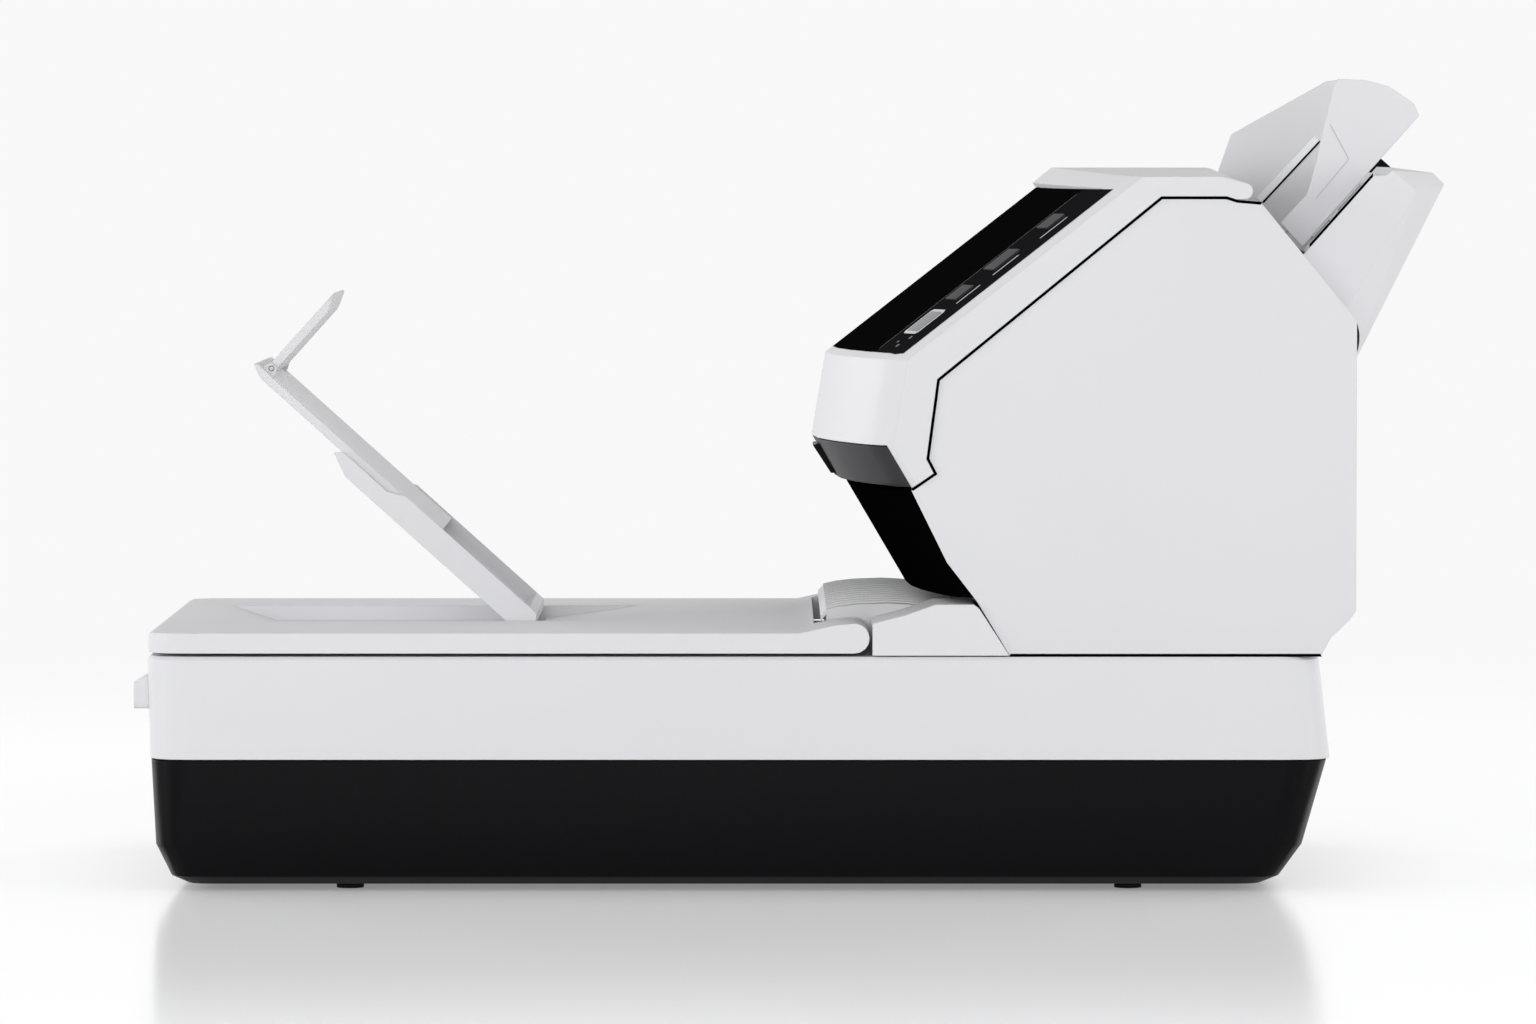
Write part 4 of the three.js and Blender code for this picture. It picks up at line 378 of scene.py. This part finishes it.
# Each plastic's colour, roughness and shine, with a grain, relief or strip colour of its own
PLASTICS = {
    "white_plastic": {"color": "e4e4e7", "roughness": 0.50, "shine": 0.15},
    "black_plastic": {"color": "0e0e10", "roughness": 0.36, "shine": 0.05},
    "grey_plastic": {"color": "3a3a3c", "roughness": 0.50, "shine": 0.12},
    "ramp_grey": {"color": "dededf", "roughness": 0.45, "shine": 0.2},
    "gloss_black": {
        "color": "0b0b0c", "roughness": 0.25, "shine": 0.0, "relief": 0.02, "strip_color": "1c1c1e",
    },
    # Painted shade: a darker copy of the black plastic, without shine, for the exit body
    "exit_shade_black": {"color": "040405", "roughness": 0.6, "shine": 0.0},
    "rubber": {"color": "1c1c1d", "roughness": 0.80, "shine": 0.2, "relief": 0.5},
    "pad_white": {
        "color": "eeeeec", "roughness": 0.75, "shine": 0.3, "grain": 1.2 * MM, "relief": 0.6,
    },
    "board_green": {"color": "1d5a34", "roughness": 0.35, "shine": 0.5},
    "key_grey": {"color": "333336", "roughness": 0.30, "shine": 0.03, "relief": 0.05},
    # Painted shade: the black of the shadow gaps round the side panels, under the near guide and in the
    # far guide's slot
    "shade_black": {"color": "030303", "roughness": 0.9, "shine": 0.0},
    "print_white": {"color": "d8d8da", "roughness": 0.4, "shine": 0.2, "relief": 0.02},
    "print_grey": {"color": "77777a", "roughness": 0.4, "shine": 0.2, "relief": 0.02},
    "print_dark": {"color": "1f1f21", "roughness": 0.3, "shine": 0.2, "relief": 0.02},
    # Painted highlight: a whiter copy of the white plastic for the far guide's foot bar
    "foot_highlight_white": {"color": "fafafc", "roughness": 0.4, "shine": 0.3, "relief": 0.02},
    # Painted shade: the grey line along the near guide's crease
    "crease_shade_grey": {"color": "c4c4c7", "roughness": 0.5, "shine": 0.1, "relief": 0.02},
    "display_grey": {"color": "6d6e72", "roughness": 0.15, "shine": 0.3, "relief": 0.0},
}
MATERIALS = {name: make_plastic(name, **look) for name, look in PLASTICS.items()}
MATERIALS["steel"] = make_steel()
MATERIALS["glass"] = make_glass()

# A node that has another finish than the rest of its slot: the exit body is painted darker and without
# shine, as painted shade
OWN_FINISH = {"adf_exit_body": "exit_shade_black"}
# Faces that meet at less than this angle are shaded as one curve
SMOOTH_ANGLE = math.radians(32)
# Corners that meet are found by rounding their places to this
SAME_PLACE = 0.002 * MM


def corner_angle(mesh, face, turn):
    """The angle of a face at one of its corners."""
    count = len(face.vertices)
    here, before, after = (
        mesh.vertices[face.vertices[i % count]].co for i in (turn, turn - 1, turn + 1)
    )
    return (before - here).angle(after - here, 0)


def smooth_curves(mesh):
    """Shades curved faces smoothly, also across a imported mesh's separate triangles."""
    mesh.shade_smooth()
    meeting = {}
    for face in mesh.polygons:
        for turn, corner in enumerate(face.loop_indices):
            place = mesh.vertices[face.vertices[turn]].co
            key = tuple(round(c / SAME_PLACE) for c in place)
            share = face.normal * corner_angle(mesh, face, turn)
            meeting.setdefault(key, []).append((corner, face.normal, share))
    normals = [Vector()] * len(mesh.loops)
    for corners in meeting.values():
        for corner, facing, _ in corners:
            smooth = [share for _, other, share in corners if other.angle(facing, 0) < SMOOTH_ANGLE]
            normals[corner] = sum(smooth, Vector()).normalized()
    mesh.normals_split_custom_set(normals)


def dress_nodes():
    """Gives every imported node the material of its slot, and shades its curved faces smoothly."""
    for row in frame["record"]["subparts"]:
        mesh = frame["nodes"][row["node"]].data
        mesh.materials.clear()
        mesh.materials.append(MATERIALS[OWN_FINISH.get(row["node"], row["material_slot"])])
        smooth_curves(mesh)


def add_piece(name, verts, faces, body, finish, material=None, smooth=True):
    """A mesh that rides on a body, with the material named by its finish.

    It has that material where it isn't given another.
    """
    mesh = bpy.data.meshes.new(name)
    mesh.from_pydata([tuple(v) for v in verts], [], faces)
    work = bmesh.new()
    work.from_mesh(mesh)
    bmesh.ops.recalc_face_normals(work, faces=work.faces)
    work.to_mesh(mesh)
    work.free()
    mesh.materials.append(MATERIALS[material or finish])
    if smooth:
        smooth_curves(mesh)
    piece = add_object(name, mesh)
    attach(piece, body)
    return piece


def ring_faces(one, other):
    """The faces between two closed rings, each given as its vertices' numbers."""
    count = len(one)
    return [(one[i], one[(i + 1) % count], other[(i + 1) % count], other[i]) for i in range(count)]


def add_tube(name, rings, body, finish, material=None, smooth=False):
    """A piece through rings of points that follow each other, with a flat cap on both ends."""
    size = len(rings[0])
    numbers = [tuple(range(i * size, (i + 1) * size)) for i in range(len(rings))]
    faces = []
    for one, other in zip(numbers, numbers[1:]):
        faces += ring_faces(one, other)
    faces += [numbers[0], numbers[-1]]
    verts = [point for ring in rings for point in ring]
    add_piece(name, verts, faces, body, finish, material, smooth)


def add_slab(name, outline, start_y, end_y, body, finish, material=None):
    """A flat piece with an outline in x and z, between two distances across."""
    rings = [[(x, y, z) for x, z in outline] for y in (start_y, end_y)]
    add_tube(name, rings, body, finish, material)


def surface_of(node):
    """A node's faces, for finding points on them."""
    work = bmesh.new()
    work.from_mesh(frame["nodes"][node].data)
    surface = BVHTree.FromBMesh(work)
    work.free()
    return surface


def first_hit(surface, start, way):
    """The first point of a surface on the way from a start."""
    return surface.ray_cast(Vector(start), Vector(way))[0]


# The shadow gap round the side panels is filled by a black strip of painted shade, apart from the rear
# edges.
# A panel has its full outline up to the y where its bevel starts, and the strip's lip of painted shade
# lies on the bevel
BEVEL_Y = 0.147
GAP_SHADE_SEAT_Y = BEVEL_Y + 1.0 * MM
GAP_SHADE_OUT = 0.55 * MM
GAP_SHADE_DEPTH = 1.1 * MM
GAP_SHADE_PROUD = 0.15 * MM
GAP_SHADE_LIP = 0.8 * MM
GAP_SHADE_LIP_RISE = GAP_SHADE_LIP / 3
# The upper run starts at a share of the panel's height, in front, and ends at an x on its top
GAP_SHADE_START_SHARE = 0.35
GAP_SHADE_END_X = 0.225
# The points of a run follow each other round this x
GAP_SHADE_TURN_X = 0.16
GAP_SHADE_FOOT_HEIGHT = 1.0 * MM


def panel_outline(node, y):
    """The outline of a side panel at its full size, as x and z in order round its middle."""
    lowest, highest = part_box(node)
    middle = (lowest + highest) / 2
    points = {
        (round(v.co.x, 6), round(v.co.z, 6))
        for v in frame["nodes"][node].data.vertices if abs(v.co.y - y) < PLANE_REACH
    }
    return sorted(points, key=lambda p: math.atan2(p[1] - middle.z, p[0] - middle.x))


def mitres(points):
    """At each point of a closed outline, the way out whose length keeps an offset even."""
    ways = []
    for i, point in enumerate(points):
        before = Vector(point) - Vector(points[i - 1])
        after = Vector(points[(i + 1) % len(points)]) - Vector(point)
        normals = [Vector((d.y, -d.x)).normalized() for d in (before, after)]
        way = (normals[0] + normals[1]).normalized()
        ways.append(way / way.dot(normals[0]))
    return ways


def make_panel_gap_shade(place, side):
    """A black strip of painted shade in the shadow gap over a side panel's front and top edges, and
    along its foot.
    """
    node = f"adf_side_panel_{place}"
    points = panel_outline(node, side * BEVEL_Y)
    ways = mitres(points)
    low, high = (corner.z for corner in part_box(node))
    start = low + GAP_SHADE_START_SHARE * (high - low)
    runs = {
        "top": [i for i, (x, z) in enumerate(points) if x < GAP_SHADE_END_X and z > start],
        "foot": [i for i, (_, z) in enumerate(points) if z < low + GAP_SHADE_FOOT_HEIGHT],
    }
    # The strip's section: a distance in from the outline, and one out from the machine's middle
    section = [
        (-GAP_SHADE_OUT, GAP_SHADE_SEAT_Y - GAP_SHADE_DEPTH),
        (-SKIN_GAP, GAP_SHADE_SEAT_Y - GAP_SHADE_DEPTH),
        (-SKIN_GAP, GAP_SHADE_SEAT_Y + GAP_SHADE_PROUD),
        (GAP_SHADE_LIP, GAP_SHADE_SEAT_Y + GAP_SHADE_LIP_RISE + SKIN_GAP),
        (GAP_SHADE_LIP, GAP_SHADE_SEAT_Y + GAP_SHADE_LIP_RISE + GAP_SHADE_PROUD),
        (-GAP_SHADE_OUT, GAP_SHADE_SEAT_Y + GAP_SHADE_PROUD * 2),
    ]

    def turn(i):
        return math.atan2(points[i][1] - (low + high) / 2, points[i][0] - GAP_SHADE_TURN_X) % math.tau

    for run, keep in runs.items():
        rings = []
        for i in sorted(keep, key=turn):
            x, z = points[i]
            way_x, way_z = ways[i]
            rings.append([(x - way_x * inset, side * y, z - way_z * inset) for inset, y in section])
        add_tube(f"panel_gap_shade_{run}_{place}", rings, "machine", "rubber", "shade_black")


# The rim's black strip is painted shade, where the shadow gap under the near guide falls
RIM_SHADE_NEAR_Y = -0.1216
RIM_SHADE_FAR_Y = -0.1192
RIM_SHADE_START_X = 0.2465
RIM_SHADE_END_X = 0.2765
RIM_SHADE_STEPS = 6
RIM_SHADE_HEIGHT = 1.8 * MM


def make_rim_gap_shade():
    """A black strip on the hopper shell's near rim, below the near side guide: painted shade in the gap
    under the guide.
    """
    shell = surface_of("chute_back_shell")
    gap = Vector((0, 0, SKIN_GAP))
    rise = Vector((0, 0, RIM_SHADE_HEIGHT))
    rings = []
    for step in range(RIM_SHADE_STEPS + 1):
        x = RIM_SHADE_START_X + (RIM_SHADE_END_X - RIM_SHADE_START_X) * step / RIM_SHADE_STEPS
        near, far = (
            first_hit(shell, (x, y, CAD_BOX[1].z), (0, 0, -1))
            for y in (RIM_SHADE_NEAR_Y, RIM_SHADE_FAR_Y)
        )
        rings.append([near + gap, far + gap, far + rise, near + rise])
    add_tube("hopper_rim_gap_shade", rings, "machine", "rubber", "shade_black")


def panel_ends():
    """Where the operator panel's face starts and ends along its near edge."""
    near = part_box("operator_panel")[0].y
    vertices = frame["nodes"]["operator_panel"].data.vertices
    edge = [v.co.copy() for v in vertices if v.co.y < near + PLANE_REACH]
    return min(edge, key=lambda p: p.x), max(edge, key=lambda p: p.z)


# A place on the operator panel's bowed face is a share up its slope and a distance across
PANEL_SURFACE = surface_of("operator_panel")
PANEL_FOOT, PANEL_HEAD = panel_ends()
PANEL_SLOPE = Vector((PANEL_HEAD.x - PANEL_FOOT.x, 0, PANEL_HEAD.z - PANEL_FOOT.z))
PANEL_UP = Vector((-PANEL_SLOPE.z, 0, PANEL_SLOPE.x)).normalized()
# The face is looked for from this far in front of its foot
PANEL_SEARCH_RUN = 0.1
PRINT_LIFT = 0.03 * MM
PRINT_THICKNESS = 0.12 * MM
# Each side of a print's outline has this many points, to follow the bowed face
PRINT_STEPS = 6


def on_panel(share, y, lift):
    """The point at a place on the panel, lifted off its face."""
    start = (PANEL_FOOT.x - PANEL_SEARCH_RUN, y, PANEL_FOOT.z + share * PANEL_SLOPE.z)
    return first_hit(PANEL_SURFACE, start, (1, 0, 0)) + PANEL_UP * lift


def stamp(name, outline, material, thickness=PRINT_THICKNESS, lift=PRINT_LIFT, steps=PRINT_STEPS):
    """A thin printed or inlaid shape on the operator panel, with its outline as share and y."""
    edge = []
    for i, point in enumerate(outline):
        after = outline[(i + 1) % len(outline)]
        for step in range(steps):
            part = step / steps
            edge.append([a + (b - a) * part for a, b in zip(point, after)])
    count = len(edge)
    middle = [sum(spot[i] for spot in edge) / count for i in (0, 1)]
    levels = (lift, lift + thickness)
    verts = [on_panel(share, y, level) for level in levels for share, y in edge]
    verts += [on_panel(*middle, level) for level in levels]
    faces = []
    for i in range(count):
        j = (i + 1) % count
        faces.append((i, j, count + j, count + i))
        faces.append((j, i, 2 * count))
        faces.append((count + i, count + j, 2 * count + 1))
    add_piece(name, verts, faces, "feeder_cover", "key_grey", material, smooth=False)


def cut_box(start, end, near, far, corner):
    """A rectangle on the panel whose corners are cut by a share and a distance across."""
    share, across = corner
    return [
        (start + share, near), (end - share, near), (end, near + across), (end, far - across),
        (end - share, far), (start + share, far), (start, far - across), (start, near + across),
    ]


DISPLAY = {"start": 0.115, "end": 0.262, "near": -0.1370, "far": -0.1205}
DISPLAY_CORNER = (0.012, 1.6 * MM)
DISPLAY_RIM = (0.014, 1.5 * MM)
WINDOW_CORNER = (0.008, 1.0 * MM)
WINDOW_LIFT = PRINT_THICKNESS + SKIN_GAP
KEY_LINES = {"menu": (0.30, 0.415), "stop": (0.475, 0.60), "scan": (0.70, 0.83)}
LINE_NEAR = -0.1392
LINE_WIDTH = 0.9 * MM
LINE_CORNER = (0.004, 0.3 * MM)
# Each pilot mark's start and length, as shares, and its near y
PILOT_MARKS = ((0.035, 0.016, -0.134), (0.06, 0.010, -0.129), (0.085, 0.016, -0.137))
PILOT_WIDTH = 1.6 * MM
PILOT_CORNER = (0.002, 0.4 * MM)
# The border lies over the end of the panel's strip
BORDER = {"start": 0.02, "end": 0.97, "near": -0.1160, "far": -0.1155}
BORDER_CORNER = (0.002, 0.1 * MM)
BORDER_STEPS = 24


def make_panel_marks():
    """A small display window in a rim, lines beside the keys, pilot marks and a border."""
    stamp("display_rim", cut_box(**DISPLAY, corner=DISPLAY_CORNER), "print_white")
    rim_share, rim_width = DISPLAY_RIM
    window = cut_box(
        DISPLAY["start"] + rim_share, DISPLAY["end"] - rim_share, DISPLAY["near"] + rim_width,
        DISPLAY["far"] - rim_width, WINDOW_CORNER,
    )
    stamp("display_window", window, "display_grey", lift=WINDOW_LIFT)
    for name, (start, end) in KEY_LINES.items():
        line = cut_box(start, end, LINE_NEAR, LINE_NEAR + LINE_WIDTH, LINE_CORNER)
        stamp(f"{name}_key_line", line, "print_white")
    for i, (start, length, near) in enumerate(PILOT_MARKS):
        mark = cut_box(start, start + length, near, near + PILOT_WIDTH, PILOT_CORNER)
        stamp(f"pilot_mark_{i}", mark, "print_grey")
    border = cut_box(**BORDER, corner=BORDER_CORNER)
    stamp("key_field_border", border, "print_dark", PRINT_THICKNESS / 2, steps=BORDER_STEPS)


PAD_COLUMNS = 44
PAD_ROWS = 32
PAD_EDGE = 1.6 * MM
PAD_CLEARANCE = 0.1 * MM
# The pad's lower face hangs by this at its middle, and rises towards its edges by this power
PAD_CROWN = 0.12 * MM
PAD_CROWN_POWER = 0.25
# At shares of the pad's height, how far its sides are drawn in, as a share of its edge
PAD_INSET_SHARES = {0: 1.0, 0.25: 0.15, 0.5: 0.45, 0.75: 0.15, 1: 0.8}


def pad_layer(low, size, level, inset):
    """The grid of points at one level of the pad, row after row."""
    side = PAD_CLEARANCE + inset * PAD_EDGE
    grid = []
    for row in range(PAD_ROWS + 1):
        for column in range(PAD_COLUMNS + 1):
            a = column / PAD_COLUMNS
            b = row / PAD_ROWS
            x = low.x + side + a * (size.x - 2 * side)
            y = low.y + side + b * (size.y - 2 * side)
            z = low.z + PAD_CLEARANCE + level * (size.z - 2 * PAD_CLEARANCE)
            if level == 0:
                crown = 4 * a * (1 - a) * 4 * b * (1 - b)
                z += PAD_CROWN * (1 - crown ** PAD_CROWN_POWER)
            grid.append((x, y, z))
    return grid


def grid_faces(start):
    """The faces of a grid of the pad whose vertices are numbered from a start."""
    width = PAD_COLUMNS + 1
    corners = [start + row * width + column for row in range(PAD_ROWS) for column in range(PAD_COLUMNS)]
    return [(i, i + 1, i + width + 1, i + width) for i in corners]


def grid_rim():
    """The numbers of a grid's outer points, in order round it."""
    width = PAD_COLUMNS + 1
    rim = list(range(PAD_COLUMNS))
    rim += [PAD_COLUMNS + width * row for row in range(PAD_ROWS)]
    rim += [width * PAD_ROWS + column for column in range(PAD_COLUMNS, 0, -1)]
    rim += [width * row for row in range(PAD_ROWS, 0, -1)]
    return rim


def make_document_pad():
    """The foam pad under the document cover: a sheet face with soft, drawn-in sides."""
    low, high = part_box("document_pad")
    lowest, *between, highest = (
        pad_layer(low, high - low, level, inset) for level, inset in PAD_INSET_SHARES.items()
    )
    rim = grid_rim()
    verts = list(lowest)
    faces = grid_faces(0)
    ring = rim
    for grid in between:
        following = [len(verts) + i for i in range(len(rim))]
        verts += [grid[i] for i in rim]
        faces += ring_faces(ring, following)
        ring = following
    top = len(verts)
    verts += highest
    faces += ring_faces(ring, [top + i for i in rim])
    faces += [(a, d, c, b) for a, b, c, d in grid_faces(top)]
    pad = add_piece("document_pad_foam", verts, faces, "document_cover", "pad_white")
    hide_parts("document_pad")


# The crease of the near guide, and the foot and slot of the far one, as x and z.
# The crease is a grey line of painted shade, the foot bar is whiter as a painted highlight, and the
# slot is painted shade
GUIDE_CREASE = ((0.2580, 0.3631), (0.2669, 0.3466), (0.2515, 0.3280))
CREASE_WIDTH = 0.35 * MM
CREASE_RISE = 0.04 * MM
FOOT_BAR = ((0.2372, 0.3254), (0.2662, 0.3567))
FOOT_BAR_WIDTH = 3.6 * MM
FOOT_BAR_DEPTH = 0.6 * MM
FOOT_SLOT = ((0.2393, 0.3243), (0.2680, 0.3552))
FOOT_SLOT_WIDTH = 0.9 * MM


def band(start, end, width):
    """The outline of a straight band between two points in x and z."""
    start, end = Vector(start), Vector(end)
    aside = Vector((start.y - end.y, end.x - start.x)).normalized() * width / 2
    return [start - aside, end - aside, end + aside, start + aside]


def make_guide_marks():
    """A grey line of painted shade along the near guide's crease, and the far guide's foot painted
    light as a highlight, with painted shade in its slot.
    """
    near_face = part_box("side_guide_near")[0].y
    for i, ends in enumerate(zip(GUIDE_CREASE, GUIDE_CREASE[1:])):
        # Each piece is a grey line of painted shade along the crease
        add_slab(
            f"guide_crease_shade_{i}", band(*ends, CREASE_WIDTH), near_face - CREASE_RISE - SKIN_GAP,
            near_face - SKIN_GAP, "side_guide_near", "white_plastic", "crease_shade_grey",
        )
    foot_x, foot_z = FOOT_BAR[0]
    far_face = first_hit(surface_of("side_guide_far"), (foot_x, 0, foot_z), (0, 1, 0)).y
    # The foot bar's whiter colour is a painted highlight
    add_slab(
        "far_guide_foot_bar", band(*FOOT_BAR, FOOT_BAR_WIDTH), far_face - FOOT_BAR_DEPTH,
        far_face - SKIN_GAP, "side_guide_far", "white_plastic", "foot_highlight_white",
    )
    # A black strip of painted shade in the slot under the foot bar
    add_slab(
        "far_guide_slot_shade", band(*FOOT_SLOT, FOOT_SLOT_WIDTH), far_face - FOOT_BAR_DEPTH / 2,
        far_face - SKIN_GAP, "side_guide_far", "rubber", "shade_black",
    )


BUFFER_BOTTOM = 0.2555
BUFFER_TOP = 0.2696
BUFFER_BULGE = 1.2 * MM
BUFFER_STEPS = 12
BUFFER_WIDTH = 2.0 * MM


def make_edge_buffer(place, side):
    """A slim black buffer at the rear edge of a side panel."""
    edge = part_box(f"adf_side_panel_{place}")[1].x + SKIN_GAP
    middle = (BUFFER_BOTTOM + BUFFER_TOP) / 2
    outline = [(edge, BUFFER_BOTTOM), (edge, BUFFER_TOP)]
    for step in range(1, BUFFER_STEPS):
        level = BUFFER_TOP + (BUFFER_BOTTOM - BUFFER_TOP) * step / BUFFER_STEPS
        part = (level - middle) / (BUFFER_TOP - middle)
        outline.append((edge + BUFFER_BULGE * (1 - part ** 2), level))
    start = side * (BEVEL_Y - BUFFER_WIDTH)
    add_slab(f"panel_buffer_{place}", outline, start, start + side * BUFFER_WIDTH, "machine", "rubber")


# A screw head's section in millimetres, as radius and height, from its seat over its rim to its top
SCREW_SECTION = ((0.2, 0.0), (3.0, 0.0), (3.1, 0.5), (2.6, 1.1), (1.7, 1.4), (0.2, 1.4))
SCREW_STEPS = 24
# The heights of the rear screws, and their distance from the machine's middle
SCREW_LEVELS = {"low": 0.165, "high": 0.225}
SCREW_REACH = 0.12


def make_screw(name, place, way, body):
    """A plain pan-head screw, facing a way."""
    side = way.orthogonal().normalized()
    other = way.cross(side)
    rings = []
    for radius, height in SCREW_SECTION:
        ring = []
        for step in range(SCREW_STEPS):
            angle = math.tau * step / SCREW_STEPS
            spread = radius * MM * (math.cos(angle) * side + math.sin(angle) * other)
            ring.append(place + spread + way * height * MM)
        rings.append(ring)
    add_tube(name, rings, body, "steel", smooth=True)


def make_rear_screws():
    """The four screws that hold the feeder's rear case to its frame."""
    case = surface_of("adf_rear_case")
    way = Vector((1, 0, 0))
    for level, z in SCREW_LEVELS.items():
        for place, side in SIDES.items():
            seat = first_hit(case, (CAD_BOX[1].x, side * SCREW_REACH, z), -way) + way * SKIN_GAP
            make_screw(f"rear_screw_{level}_{place}", seat, way, "machine")


bpy.context.scene.view_settings.view_transform = "Standard"
make_camera()
make_lamps()
make_world()
make_floor()
dress_nodes()
for side_name, side_sign in SIDES.items():
    make_panel_gap_shade(side_name, side_sign)
make_rim_gap_shade()
make_panel_marks()
make_document_pad()
make_guide_marks()
for side_name, side_sign in SIDES.items():
    make_edge_buffer(side_name, side_sign)
make_rear_screws()
